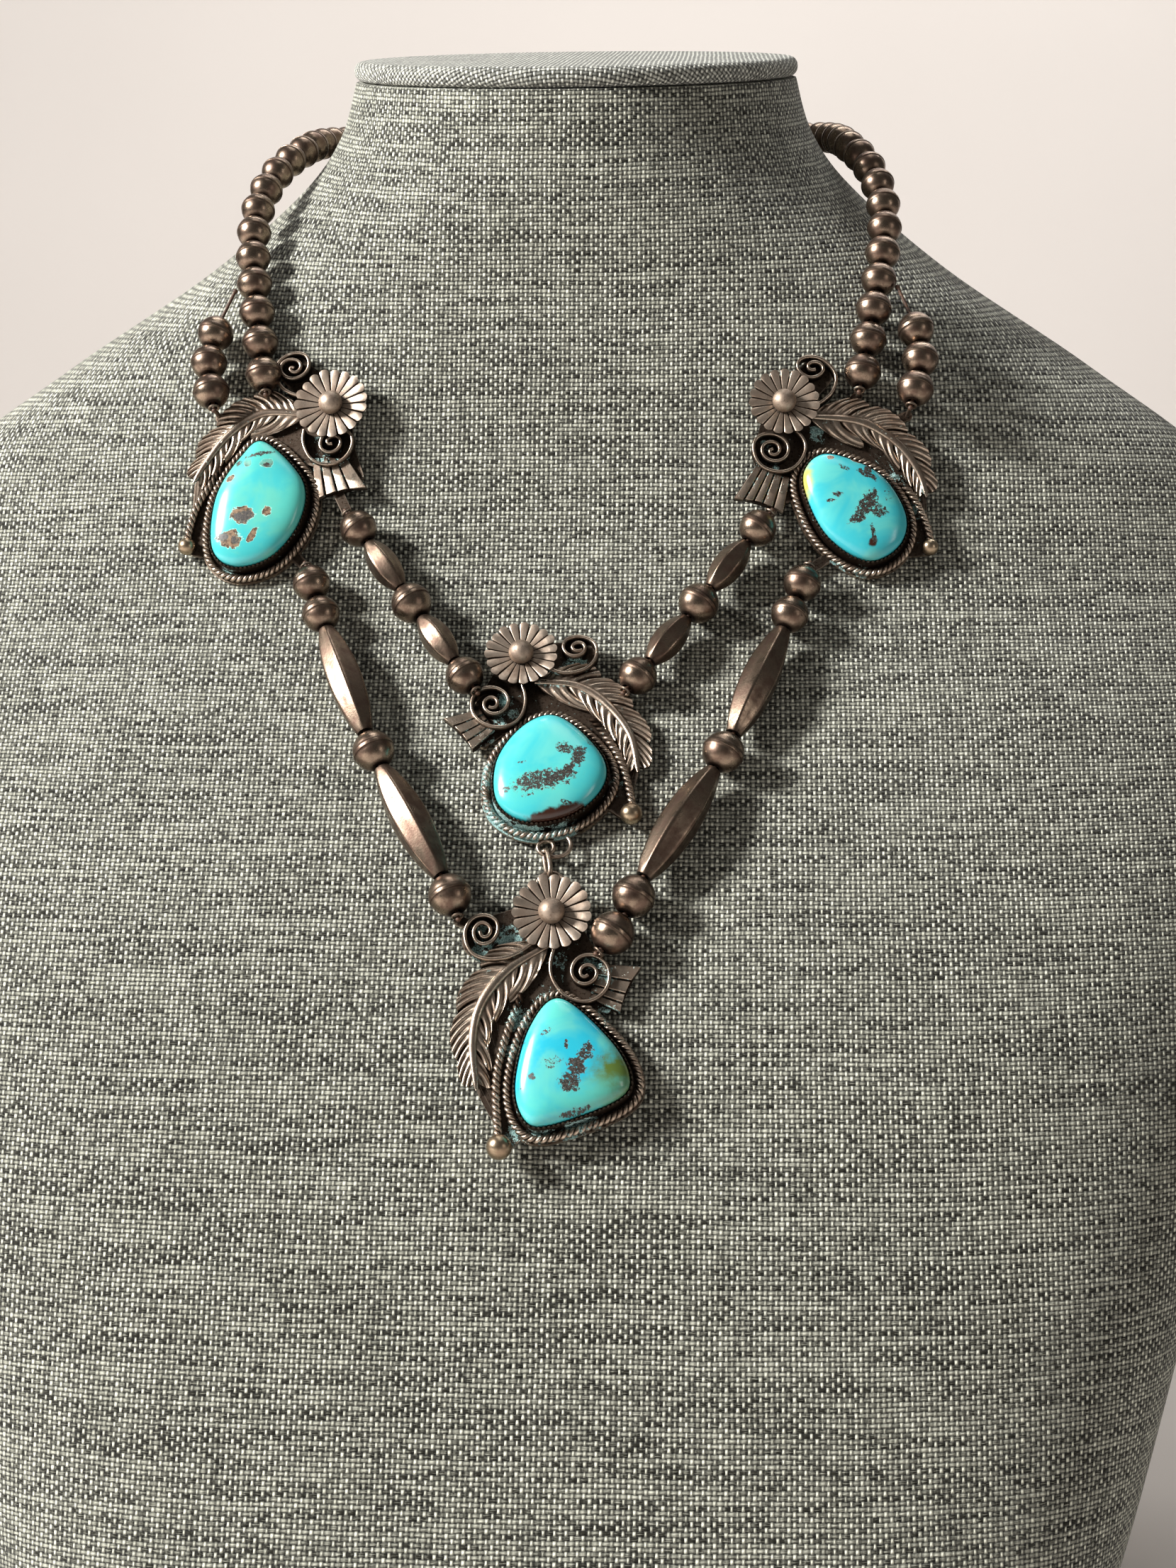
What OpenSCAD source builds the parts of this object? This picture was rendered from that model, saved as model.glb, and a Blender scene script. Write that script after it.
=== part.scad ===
// Two-strand station necklace of dark silver and turquoise on a linen neck bust.
// The bust stands on its flat base at z = 0 and faces -Y. All sizes are in millimetres.

/* [Bust] */
// Facets round the bust
bust_sides = 36; // [32:4:80]
// Rings of facets between two rows of the bust table
bust_steps = 2; // [2:1:4]
// Radius of the flat neck cap
cap_r = 49.6; // [49.4:0.1:51]
// Thickness of the neck cap
cap_t = 4.2; // [3.5:0.1:6]

/* [Beads] */
// Diameter of the large round beads
round_d = 8.0; // [7.8:0.05:8.1]
// Diameter of the round beads next to the side stations
small_round_d = 7.4; // [7.2:0.05:7.5]
// Length of the long beads of the outer strand
long_len = 26.0; // [25.6:0.1:26.2]
// Thickness of the long beads of the outer strand
long_d = 7.3; // [6.5:0.1:7.6]
// Length of the long beads of the inner strand
short_len = 12.3; // [12.1:0.1:12.5]
// Thickness of the long beads of the inner strand
short_d = 5.8; // [5.2:0.1:6.2]
// Gap between neighbouring beads
bead_gap = 0.35; // [0.25:0.05:0.45]
// Radius of the hole through a bead
bore_r = 0.95; // [0.9:0.05:1.1]
// Radius of the thread
thread_r = 0.35; // [0.3:0.05:0.4]

/* [Neck strand] */
// Beads on each side of the neck
neck_beads = 22; // [20:1:22]
// Diameter of the first neck bead, by the side station
neck_d_front = 7.4; // [7.2:0.05:7.5]
// Diameter of the last neck bead, by the clasp
neck_d_back = 6.3; // [6.1:0.05:6.4]
// Diameter of the clasp
clasp_d = 6.0; // [5:0.1:6.4]

/* [Stations] */
// Thickness of the back plates
plate_t = 0.8; // [0.7:0.05:1]
// Height of the bezel above the back of the plate
bezel_h = 3.9; // [3.6:0.1:4.4]
// Thickness of the bezel wall
bezel_t = 0.5; // [0.4:0.05:0.6]
// Gap between a stone and its bezel
stone_gap = 0.12; // [0.1:0.01:0.2]
// Rise of a stone above its bezel
stone_rise = 2.7; // [2:0.1:3.4]
// Distance from a stone to the middle of its rope wire
rope_out = 1.75; // [1.6:0.05:2]
// Radius of the rope wire
rope_r = 0.8; // [0.6:0.05:0.9]
// Petals of a flower
petals = 19; // [14:1:22]
// Height of the scroll ribbon
scroll_h = 2.1; // [1.8:0.1:2.4]
// Thickness of the scroll ribbon
scroll_t = 0.5; // [0.4:0.05:0.7]
// Radius of the wire of the loops and of the link
loop_wire_r = 0.42; // [0.4:0.02:0.5]

/* [Hidden] */
silver = "#6f625a";
turquoise = "#3fc4cc";
linen = "#86867c";
PENDANT = 0;
CENTRE = 1;
LEFT = 2;
RIGHT = 3;

// Height, middle, half width, depth to the front, depth to the back, squareness, slope of the ring
BUST_ROWS = [
    [  0, -12, 100,  82,   72,   3.6,  0],
    [ 35,  -8, 112,  73,   74,   3.8,  0],
    [ 85,   4, 127,  66,   72,   4.0,  0],
    [130,  22, 139,  63,   66,   4.0,  0],
    [170,  43, 148,  58,   56,   3.5,  0],
    [200,  58, 151,  52,   47,   2.9,  0],
    [226,  68, 142,  51,   44,   2.7,  0],
    [250,  74, 114,  52.5, 44,   2.6,  6],
    [272,  77,  83,  52,   46,   2.5, 11],
    [290,  77,  62,  51,   48,   2.3, 14],
    [302,  76,  53,  49,   48,   2.1, 14],
    [314,  75,  49.3, 47.8, 47.8, 2.0, 14]
];
ROW_TOP = len(BUST_ROWS) - 1;

// Place of each station on the chest: x, z, gap to the linen
SEATS = [
    [  0, 128, 1.0],
    [  0, 172, 1.0],
    [-59, 219, 1.8],
    [ 59, 219, 1.8]
];
// Places on a station are u to the right and v up its face, from its seat

// Outline of each stone, anticlockwise
STONES = [
    [[4, -4], [-1.2, -9.5], [-3.4, -20], [-1.5, -26.4], [3, -27.2], [14.6, -22.6], [16.8, -18.2], [12.8, -11.2]],
    [[0, 1.4], [-5.6, -1.8], [-9.6, -9], [-9, -17.5], [-3, -21.6], [5, -20], [10.4, -14.5], [10.8, -8.5], [5.5, -1.5]],
    [[-1, 9.3], [-5.5, 6.2], [-10, -2.5], [-10, -13.6], [-5, -17.6], [2.5, -15.2], [7.6, -7.5], [7.4, 1]],
    [[-5, 6.3], [-9.8, 3], [-9.6, -3], [-5.6, -11.4], [2, -16.4], [8.4, -13.2], [9.9, -6.6], [5, 2]]
];
// Middle u, v and radius of each flower
FLOWERS = [
    [2, 12.8, 7.4],
    [-6, 15.8, 7.2],
    [12, 18, 7.6],
    [-13.5, 18, 7.2]
];
// Middle u, v, radius, turning sense, angle where the coil opens, sweep and radius of its tail
SMALL_SCROLLS = [
    [-10.9, 9.7, 3.6, 1, 270, 62, 7.6],
    [4.9, 17.9, 3.5, -1, 290, 50, 6.2],
    [5, 25.8, 3.2, 1, 215, 60, 6.0],
    [-6.7, 25.6, 3.5, -1, -20, 55, 6.4]
];
LARGE_SCROLLS = [
    [9, 1.6, 4.3, -1, 190, 44, 8.0],
    [-11.2, 4.4, 4.2, 1, 345, 45, 7.4],
    [12.6, 10, 4.8, -1, 180, 42, 7.6],
    [-14.9, 8.3, 4.5, 1, 5, 42, 7.4]
];
// Angle, half spread, inner and outer radius of each fan, from the middle of the large scroll
FANS = [
    [-19, 30, 4.2, 10.2],
    [226, 30, 4.2, 10.0],
    [-76, 24, 5.4, 12.4],
    [255, 23, 5.2, 12]
];
// Midrib of each leaf from root to tip, then the side of the long lobes
LEAVES = [
    [[[-1, 6.6], [-8, 1.8], [-11.6, -8], [-11.3, -20.8]], -1],
    [[[-3, 8], [6, 9.3], [15.4, 1.6], [17.6, -9.8]], 1],
    [[[4, 17], [-5, 15.6], [-11.4, 8], [-15.2, 0.6]], -1],
    [[[-5.6, 14], [3.4, 13.4], [10, 7], [14.2, -1.2]], 1]
];
// Stem of each station from its root to the ball, then the radius of the ball
STEMS = [
    [[[-5.2, -5.6], [-7.1, -13], [-7.3, -20.5], [-6.6, -28]], [-6.4, -31.3], 2.3],
    [[[9.6, 1], [13.2, -6], [16, -12.6], [16.6, -16]], [16.6, -19], 2.1],
    [[[-11, 4], [-13.2, -1], [-15, -6], [-15.7, -10]], [-15.8, -12.4], 1.8],
    [[[10.6, 2], [12.4, -2], [13.8, -6], [14.4, -9]], [14.6, -11.4], 1.7]
];
// Places on the plates from which an arm reaches out to each thread eye
EYE_ROOTS = [
    [[-8, 9], [7, 4]],
    [[-9, 7], [10, 6]],
    [[4, 17], [-6, 9], [14, 0], [4, -12]],
    [[-4, 14], [3.4, 12.5], [-15, -1], [-3, -13]]
];
// Rings soldered to the plates for the link between the centre and the pendant: u, v, radius
PENDANT_LOOP = [1.7, 18.6, 2.2];
CENTRE_LOOP = [1.7, -24.6, 2.4];
// Row round the right half of the neck, from its thread eye to the middle of the back: x, y, z
NECK_PATH = [
    [60.7, 18.6, 240.2],
    [61.4, 20.6, 244],
    [64, 27.6, 257.5],
    [66.5, 37, 271],
    [67, 46.5, 282],
    [64.4, 57.5, 291.5],
    [60.6, 70, 298],
    [58.6, 84, 302],
    [53.4, 101.5, 305.5],
    [40, 117.4, 308],
    [21, 127.4, 309.5],
    [0, 130.6, 310]
];
// Short row outside it, from its thread eye to where it joins the first
SHOULDER_PATH = [
    [70.9, 15.9, 236.8],
    [71.8, 18, 240.4],
    [73.6, 23.1, 247.4],
    [72.3, 27.6, 254.2],
    [69, 30, 262]
];
// Strands on the right half of the chest from the thread eye down, past the last bead: x, z
INNER_PATH = [[42.6, 215.2], [40.2, 212.2], [34.2, 204.6], [28.1, 196.8], [22.2, 189.6], [16.8, 183.4], [13, 178.8]];
OUTER_PATH = [[50.2, 204.6], [48.8, 201.2], [46.1, 194.6], [39.7, 181.4], [32.8, 168.4], [24.8, 155.9], [16.6, 144.2],
    [14.5, 138.2], [10.6, 134.5]];
// Beads of a chest strand from the side station down: length, thickness, "round" or "long"
INNER_BEADS = [
    [small_round_d, small_round_d, "round"],
    [short_len, short_d, "long"],
    [round_d, round_d, "round"],
    [short_len, short_d, "long"],
    [small_round_d, small_round_d, "round"]
];
OUTER_BEADS = [
    [small_round_d, small_round_d, "round"],
    [small_round_d, small_round_d, "round"],
    [long_len, long_d, "long"],
    [round_d, round_d, "round"],
    [long_len, long_d, "long"],
    [round_d, round_d, "round"],
    [round_d, round_d, "round"]
];
// The left outer strand has one bead less
OUTER_LEFT_BEADS = [for (i = [0 : 5]) OUTER_BEADS[i]];
// Strands: side, path, beads, station at the top, station at the bottom
INNER_LEFT = [-1, INNER_PATH, INNER_BEADS, LEFT, CENTRE];
INNER_RIGHT = [1, INNER_PATH, INNER_BEADS, RIGHT, CENTRE];
OUTER_LEFT = [-1, OUTER_PATH, OUTER_LEFT_BEADS, LEFT, PENDANT];
OUTER_RIGHT = [1, OUTER_PATH, OUTER_BEADS, RIGHT, PENDANT];
BEAD_LIFT = round_d / 2 + 0.5;
// Distance from a thread eye to the nearest bead
EYE_GAP = 0.6;

// Smooth curve through four neighbouring values, at u from the second to the third
function between(a, b, c, d, u) =
    let (m = (c - a) / 2, n = (d - b) / 2)
    (2 * u ^ 3 - 3 * u ^ 2 + 1) * b + (u ^ 3 - 2 * u ^ 2 + u) * m
    + (3 * u ^ 2 - 2 * u ^ 3) * c + (u ^ 3 - u ^ 2) * n;

// Smooth open curve through points
function spline(p, steps) = [
    for (i = [0 : len(p) - 2], k = [0 : steps - 1])
        between(p[max(i - 1, 0)], p[i], p[i + 1], p[min(i + 2, len(p) - 1)], k / steps),
    p[len(p) - 1]
];

// Smooth closed curve through points
function closed_spline(p, steps) =
    let (n = len(p))
    [for (i = [0 : n - 1], k = [0 : steps - 1])
        between(p[(i + n - 1) % n], p[i], p[(i + 1) % n], p[(i + 2) % n], k / steps)];

// Closed outline moved out by d
function grown(p, d) =
    let (n = len(p))
    [for (i = [0 : n - 1])
        let (t = p[(i + 1) % n] - p[(i + n - 1) % n])
        p[i] + d * [t.y, -t.x] / norm(t)];

// Point at distance s along a path
function along(p, s, i = 0) =
    let (step = norm(p[i + 1] - p[i]))
    s <= step || i >= len(p) - 2 ? p[i] + (p[i + 1] - p[i]) * s / step : along(p, s - step, i + 1);

function total(v, n, i = 0) = i >= n ? 0 : v[i] + total(v, n, i + 1);

// One row of the bust at parameter t, from 0 at the base
function bust_row(t) =
    let (i = min(floor(t), ROW_TOP - 1))
    between(BUST_ROWS[max(i - 1, 0)], BUST_ROWS[i], BUST_ROWS[i + 1], BUST_ROWS[min(i + 2, ROW_TOP)], t - i);

function signed_power(v, e) = sign(v) * abs(v) ^ e;

// Point of a bust row at angle a, where 270 is the front
function row_point(row, a) =
    let (e = 2 / row[5], s = sin(a), depth = (s < 0 ? row[3] : row[4]) * signed_power(s, e))
    [row[2] * signed_power(cos(a), e), row[1] + depth, row[0] + depth * tan(row[6])];

// Parameter of the bust row at height z
function row_at(z, low = 0, high = 7, n = 14) =
    let (mid = (low + high) / 2)
    n == 0 ? mid : bust_row(mid)[0] < z ? row_at(z, mid, high, n - 1) : row_at(z, low, mid, n - 1);

// Depth of the chest at x and z
function chest_y(x, z) =
    let (row = bust_row(row_at(z)))
    row[1] - row[3] * (1 - min(abs(x) / row[2], 1) ^ row[5]) ^ (1 / row[5]);

// Unit vector out of the chest
function chest_out(x, z) =
    let (dx = (chest_y(x + 2, z) - chest_y(x - 2, z)) / 4, dz = (chest_y(x, z + 2) - chest_y(x, z - 2)) / 4)
    [dx, -1, dz] / norm([dx, -1, dz]);

function on_chest(x, z, lift) = [x, chest_y(x, z), z] + chest_out(x, z) * lift;

// Lean, turn and origin of a station
function station_lean(k) = asin(chest_out(SEATS[k][0], SEATS[k][1]).z);
function station_turn(k) =
    let (n = chest_out(SEATS[k][0], SEATS[k][1]))
    atan2(n.x, -n.y);
function station_origin(k) = on_chest(SEATS[k][0], SEATS[k][1], SEATS[k][2]);

// World place of a point u, v, w of a station
function from_station(k, p) =
    let (lean = station_lean(k), turn = station_turn(k))
    station_origin(k)
    + p[0] * [cos(turn), sin(turn), 0]
    + p[1] * [-sin(turn) * sin(lean), cos(turn) * sin(lean), cos(lean)]
    + p[2] * [sin(turn) * cos(lean), -cos(turn) * cos(lean), sin(lean)];

// Place on a station of a world point
function to_station(k, p) =
    let (d = p - station_origin(k), u = from_station(k, [1, 0, 0]) - station_origin(k))
    let (v = from_station(k, [0, 1, 0]) - station_origin(k), w = cross(u, v))
    [d * u, d * v, d * w];

module on_station(k)
    translate(station_origin(k))
        rotate([90 - station_lean(k), 0, station_turn(k)])
            children();

// Solid through rings that all have the same number of points, anticlockwise about the way they go
module skin(rings) {
    n = len(rings[0]);
    last = len(rings) - 1;
    sides = [
        for (i = [0 : last - 1], j = [0 : n - 1])
            let (a = i * n + j, b = i * n + (j + 1) % n)
            each [[a, b + n, b], [a, a + n, b + n]]
    ];
    base = [for (j = [0 : n - 1]) j];
    lid = [for (j = [n - 1 : -1 : 0]) last * n + j];
    polyhedron([for (r = rings) each r], concat([base], sides, [lid]), convexity = 6);
}

// Cross-section of a wire at point p with direction t, for wires that stay near the plane of the station
function wire_ring(p, t, r, sides) =
    let (d = t / norm(t), across = [d.y, -d.x, 0] / norm([d.y, -d.x]), up = cross(across, d))
    [for (k = [0 : sides - 1]) p - r * (cos(360 * k / sides) * across - sin(360 * k / sides) * up)];

module wire(p, r, sides = 6) {
    last = len(p) - 1;
    skin([for (i = [0 : last]) wire_ring(p[i], p[min(i + 1, last)] - p[max(i - 1, 0)], r, sides)]);
}

// Closed wire along a flat outline
module closed_wire(outline, height, r, sides = 6) {
    n = len(outline);
    p = [for (q = outline) [q.x, q.y, height]];
    rings = [for (i = [0 : n - 1]) wire_ring(p[i], p[(i + 1) % n] - p[(i + n - 1) % n], r, sides)];
    faces = [
        for (i = [0 : n - 1], j = [0 : sides - 1])
            let (a = i * sides + j, b = i * sides + (j + 1) % sides, c = ((i + 1) % n) * sides)
            each [[a, c + (j + 1) % sides, b], [a, c + j, c + (j + 1) % sides]]
    ];
    polyhedron([for (r = rings) each r], faces, convexity = 6);
}

module bust()
    color(linen)
        skin([
            for (i = [0 : ROW_TOP * bust_steps])
                let (row = bust_row(i / bust_steps))
                [for (j = [0 : bust_sides - 1]) row_point(row, 360 * j / bust_sides)]
        ]);

// Disc with a rounded rim that lies on the sloping top of the neck
module neck_cap() {
    top = BUST_ROWS[ROW_TOP];
    round = cap_t * 0.45;
    color(linen)
        translate([0, top[1], top[0]])
            rotate([top[6], 0, 0])
                translate([0, 0, 0.3])
                    rotate_extrude($fn = 96)
                        union() {
                            square([cap_r - round, cap_t]);
                            translate([0, round])
                                square([cap_r, cap_t - 2 * round]);
                            translate([cap_r - round, round])
                                circle(round, $fn = 32);
                            translate([cap_r - round, cap_t - round])
                                circle(round, $fn = 32);
                        }
}

function stone_outline(k) = closed_spline(STONES[k], 3);

// Domed stone with a flat back, its sides inside the bezel
module stone(k) {
    outline = stone_outline(k);
    middle = [for (i = [0 : 1]) total([for (q = outline) q[i]], len(outline)) / len(outline)];
    base = plate_t + 0.2;
    edge = bezel_h - base;
    // Size and height of each ring of the dome
    levels = [[1, base], [1, base + edge], [0.93, bezel_h + stone_rise * 0.45],
        [0.74, bezel_h + stone_rise * 0.82], [0.4, bezel_h + stone_rise]];
    color(turquoise)
        on_station(k)
            skin([for (l = levels) [for (q = outline) let (p = middle + (q - middle) * l[0]) [p.x, p.y, l[1]]]]);
}

module back_plate(k) {
    small = SMALL_SCROLLS[k];
    large = LARGE_SCROLLS[k];
    flower = FLOWERS[k];
    ball = STEMS[k][1];
    heart = STONES[k][0];
    linear_extrude(plate_t) {
        polygon(grown(stone_outline(k), rope_out + rope_r * 0.7));
        hull() {
            translate([small[0], small[1]])
                circle(small[2] + 0.3, $fn = 16);
            translate([flower[0], flower[1]])
                circle(3.7, $fn = 12);
        }
        hull() {
            translate([flower[0], flower[1]])
                circle(3.7, $fn = 12);
            translate([large[0], large[1]])
                circle(large[2] + 0.3, $fn = 16);
            translate(heart)
                circle(1, $fn = 8);
        }
        hull() {
            translate(STEMS[k][0][2])
                circle(0.8, $fn = 6);
            translate(ball)
                circle(1.2, $fn = 8);
            translate(STONES[k][k == PENDANT ? 3 : k == CENTRE ? 6 : k == LEFT ? 3 : 5])
                circle(1.6, $fn = 8);
        }
        hull() {
            translate(LEAVES[k][0][0])
                circle(1.4, $fn = 6);
            translate(LEAVES[k][0][1])
                circle(1.4, $fn = 6);
            translate(heart)
                circle(1, $fn = 6);
        }
        hull() {
            translate([large[0], large[1]])
                circle(large[2], $fn = 12);
            translate([large[0], large[1]] + FANS[k][3] * 0.6 * [cos(FANS[k][0]), sin(FANS[k][0])])
                circle(1.5, $fn = 8);
        }
        for (i = [0 : len(EYE_ROOTS[k]) - 1])
            hull() {
                eye = to_station(k, station_eyes(k)[i][0]);
                translate([eye.x, eye.y])
                    circle(1, $fn = 8);
                translate(EYE_ROOTS[k][i])
                    circle(1.1, $fn = 8);
            }
    }
}

// Upright wall round the stone
module bezel(k) {
    inner = grown(stone_outline(k), stone_gap);
    outer = grown(stone_outline(k), stone_gap + bezel_t);
    translate([0, 0, plate_t / 2])
        linear_extrude(bezel_h - plate_t / 2)
            difference() {
                polygon(outer);
                polygon(inner);
            }
}

// Daisy that stands on a short post, with a ball in its middle
module flower(k) {
    f = FLOWERS[k];
    n = 2 * petals;
    // Petal tips take turns with the shorter notches between them
    rim = [
        for (j = [0 : n - 1])
            let (a = 180 / petals * j, r = j % 2 == 0 ? f[2] : 0.72 * f[2])
            [r * cos(a), r * sin(a), j % 2 == 0 ? 3.9 : 3.3]
    ];
    translate([f[0], f[1], 0]) {
        skin([
            [for (q = rim) [0.24 * q.x, 0.24 * q.y, 2.9]],
            rim,
            [for (q = rim) [0.28 * q.x, 0.28 * q.y, 3.7]]
        ]);
        translate([0, 0, plate_t / 2])
            rotate([0, 0, 5])
                cylinder(h = 3, r = 2.1, $fn = 10);
        translate([0, 0, 3.9])
            rotate([0, 0, 7])
                sphere(2.4, $fn = 10);
    }
}

// Ribbon wire on its edge: a coil of two and a quarter turns that opens into a tail
module scroll(s) {
    centre = [s[0], s[1]];
    coil = [
        for (i = [0 : 15])
            let (f = i / 15, a = s[4] - s[3] * 810 * (1 - f), r = s[2] * (0.2 + 0.8 * f))
            centre + r * [cos(a), sin(a)]
    ];
    tail = [
        for (i = [1 : 2])
            let (f = i / 2, a = s[4] + s[3] * s[5] * f, r = s[2] + (s[6] - s[2]) * f ^ 1.3)
            centre + r * [cos(a), sin(a)]
    ];
    path = concat(coil, tail);
    n = len(path);
    side = [
        for (i = [0 : n - 1])
            let (t = path[min(i + 1, n - 1)] - path[max(i - 1, 0)])
            scroll_t / 2 * [t.y, -t.x] / norm(t)
    ];
    translate([0, 0, plate_t - 0.1])
        linear_extrude(scroll_h + 0.1)
            polygon(concat([for (i = [0 : n - 1]) path[i] + side[i]], [for (i = [n - 1 : -1 : 0]) path[i] - side[i]]));
}

// Fan of ribs that spreads from under the large scroll
module fan(k) {
    f = FANS[k];
    s = LARGE_SCROLLS[k];
    ribs = 4;
    width = 2 * f[1] / ribs;
    translate([s[0], s[1], plate_t * 0.4])
        for (i = [0 : ribs - 1])
            rotate([0, 0, f[0] - f[1] + width * (i + 0.5)])
                translate([0, 0, 0.12 * i])
                    hull() {
                        translate([f[2], 0, 0.1])
                            cube([0.2, f[2] * 0.9 * tan(width), 1.8], center = true);
                        translate([f[3], 0, 0.1])
                            cube([0.2, f[3] * 1.04 * tan(width), 1.4], center = true);
                    }
}

// Feather leaf: a raised midrib with sloping lobes on both sides
module leaf(k) {
    rib = spline(LEAVES[k][0], 2);
    long_side = LEAVES[k][1];
    n = len(rib) - 1;
    height = plate_t + 1.1;
    wire([for (i = [0 : n]) [rib[i].x, rib[i].y, height + 0.3 - 0.5 * i / n]], 0.66, 5);
    for (i = [0 : n - 1], side = [long_side, -long_side]) {
        f = i / n;
        along_rib = (rib[i + 1] - rib[i]) / norm(rib[i + 1] - rib[i]);
        out = side * [-along_rib.y, along_rib.x];
        reach = side == long_side ? 5.2 - 2.8 * f : 4.6 - 2.4 * f;
        lobe = side == long_side || i % 2 == 0 ? 1 : 0.86;
        tip = rib[i] + reach * lobe * (0.86 * out + 0.55 * along_rib);
        // Each lobe lies a little lower than the one before it
        dip = 0.06 * i + (side > 0 ? 0.03 : 0);
        hull() {
            translate([rib[i].x, rib[i].y, height - 0.55 - dip])
                rotate([0, 0, 9 * i])
                    cylinder(h = 0.7, r = 1.1, $fn = 4);
            translate([tip.x, tip.y, height - 0.9 - dip])
                rotate([0, 0, 13 * i])
                    cylinder(h = 0.6, r = 1.2, $fn = 4);
        }
    }
}

// Stem of rope wire that ends in a ball
module stem(k) {
    height = plate_t + 0.9;
    ball = STEMS[k][1];
    wire([for (p = concat(spline(STEMS[k][0], 2), [ball])) [p.x, p.y, height]], 0.85, 5);
    translate([ball.x, ball.y, STEMS[k][2] + 0.05])
        rotate([0, 0, 11])
            sphere(STEMS[k][2], $fn = 8);
}

// Small eye on a post that the thread passes through
module eye(k, at, toward) {
    a = to_station(k, at);
    b = to_station(k, toward);
    translate([a.x, a.y, a.z])
        rotate([90, 0, atan2(b.y - a.y, b.x - a.x) + 90])
            linear_extrude(0.6, center = true)
                difference() {
                    circle(1.15, $fn = 6);
                    circle(0.8, $fn = 6);
                }
    translate([a.x, a.y, plate_t / 2])
        cylinder(h = a.z - 0.85 - plate_t / 2, r = 0.55, $fn = 4);
}

// Flat ring soldered to a plate, for the link between the centre and the pendant
module plate_loop(u, v, r)
    closed_wire([for (a = [0 : 30 : 330]) [u + r * cos(a), v + r * sin(a)]], 0.6, loop_wire_r, 5);

module setting(k)
    color(silver)
        on_station(k)
            union() {
                back_plate(k);
                bezel(k);
                closed_wire(grown(stone_outline(k), rope_out), plate_t + rope_r * 0.8, rope_r, 5);
                flower(k);
                scroll(SMALL_SCROLLS[k]);
                scroll(LARGE_SCROLLS[k]);
                fan(k);
                leaf(k);
                stem(k);
                for (e = station_eyes(k))
                    eye(k, e[0], e[1]);
                if (k == PENDANT)
                    plate_loop(PENDANT_LOOP[0], PENDANT_LOOP[1], PENDANT_LOOP[2]);
                if (k == CENTRE)
                    plate_loop(CENTRE_LOOP[0], CENTRE_LOOP[1], CENTRE_LOOP[2]);
            }

// Long link that hangs from the centre's loop and holds the pendant's loop
module pendant_link() {
    top = from_station(CENTRE, [CENTRE_LOOP[0], CENTRE_LOOP[1] - CENTRE_LOOP[2], 0.6]);
    low = from_station(PENDANT, [PENDANT_LOOP[0], PENDANT_LOOP[1] + PENDANT_LOOP[2], 0.6]);
    way = low - top;
    bend = 0.95;
    half = norm(way) / 2 + 2 * loop_wire_r + 0.1 - bend;
    color(silver)
        translate((top + low) / 2)
            rotate([0, acos(way.z / norm(way)), atan2(way.y, way.x)])
                union() {
                    for (end = [0, 180])
                        rotate([0, end, 0])
                            translate([0, 0, half])
                                rotate([90, 0, 0])
                                    rotate_extrude(angle = 180, $fn = 32)
                                        translate([bend, 0])
                                            circle(loop_wire_r, $fn = 16);
                    for (x = [-bend, bend])
                        translate([x, 0, -half])
                            cylinder(h = 2 * half, r = loop_wire_r, $fn = 16);
                }
}

// Round bead with a seam round its middle and a hole along z
module round_bead(d)
    difference() {
        union() {
            sphere(d / 2, $fn = 48);
            cylinder(h = 0.5, r = d / 2 + 0.1, center = true, $fn = 48);
        }
        cylinder(h = d + 2, r = bore_r, center = true, $fn = 24);
    }

// Six-sided spindle with a hole along z: its faces are arcs that narrow it to its ends
module long_bead(len, d) {
    end_d = 0.36 * d + 0.5;
    sink = (d - end_d) / 2;
    arc_r = ((len / 2) ^ 2 + sink ^ 2) / (2 * sink);
    difference() {
        intersection_for (a = [0, 60, 120])
            rotate([0, 0, a])
                intersection_for (s = [-1, 1])
                    translate([0, s * (arc_r - d * 0.47), 0])
                        rotate([0, 90, 0])
                            cylinder(h = 2 * len, r = arc_r, center = true, $fn = 240);
        for (s = [-1, 1])
            translate([0, 0, s * len])
                cube([2 * d, 2 * d, len], center = true);
        cylinder(h = len + 2, r = bore_r, center = true, $fn = 24);
    }
}

// Places what runs along z on a path, from distance s - half to s + half
module on_path(path, s, half) {
    from = along(path, s - half);
    to = along(path, s + half);
    way = to - from;
    translate((from + to) / 2)
        rotate([0, acos(way.z / norm(way)), atan2(way.y, way.x)])
            children();
}

// Path of a chest strand, through the middles of its beads
function strand_path(t) = [
    for (p = spline(t[1], 6))
        [t[0] * p[0], chest_y(p[0], p[1]) + BEAD_LIFT / chest_out(p[0], p[1]).y, p[1]]
];
function shoulder_path(side) = mirrored(spline(SHOULDER_PATH, 4), side);
function neck_path(side) = mirrored(spline(NECK_PATH, 6), side);
function mirrored(p, side) = [for (q = p) [side * q.x, q.y, q.z]];

// Distance along a path to the middle of bead i of a row of bead lengths
function bead_place(lengths, i) = EYE_GAP + total([for (b = lengths) b + bead_gap], i) + lengths[i] / 2;
function strand_lengths(t) = [for (b = t[2]) b[0]];
// Neck beads shrink from the side stations to the clasp
NECK_LENGTHS = [for (i = [0 : neck_beads - 1]) neck_d_front + (neck_d_back - neck_d_front) * i / (neck_beads - 1)];
SHOULDER_LENGTHS = [small_round_d, small_round_d, small_round_d];

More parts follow.
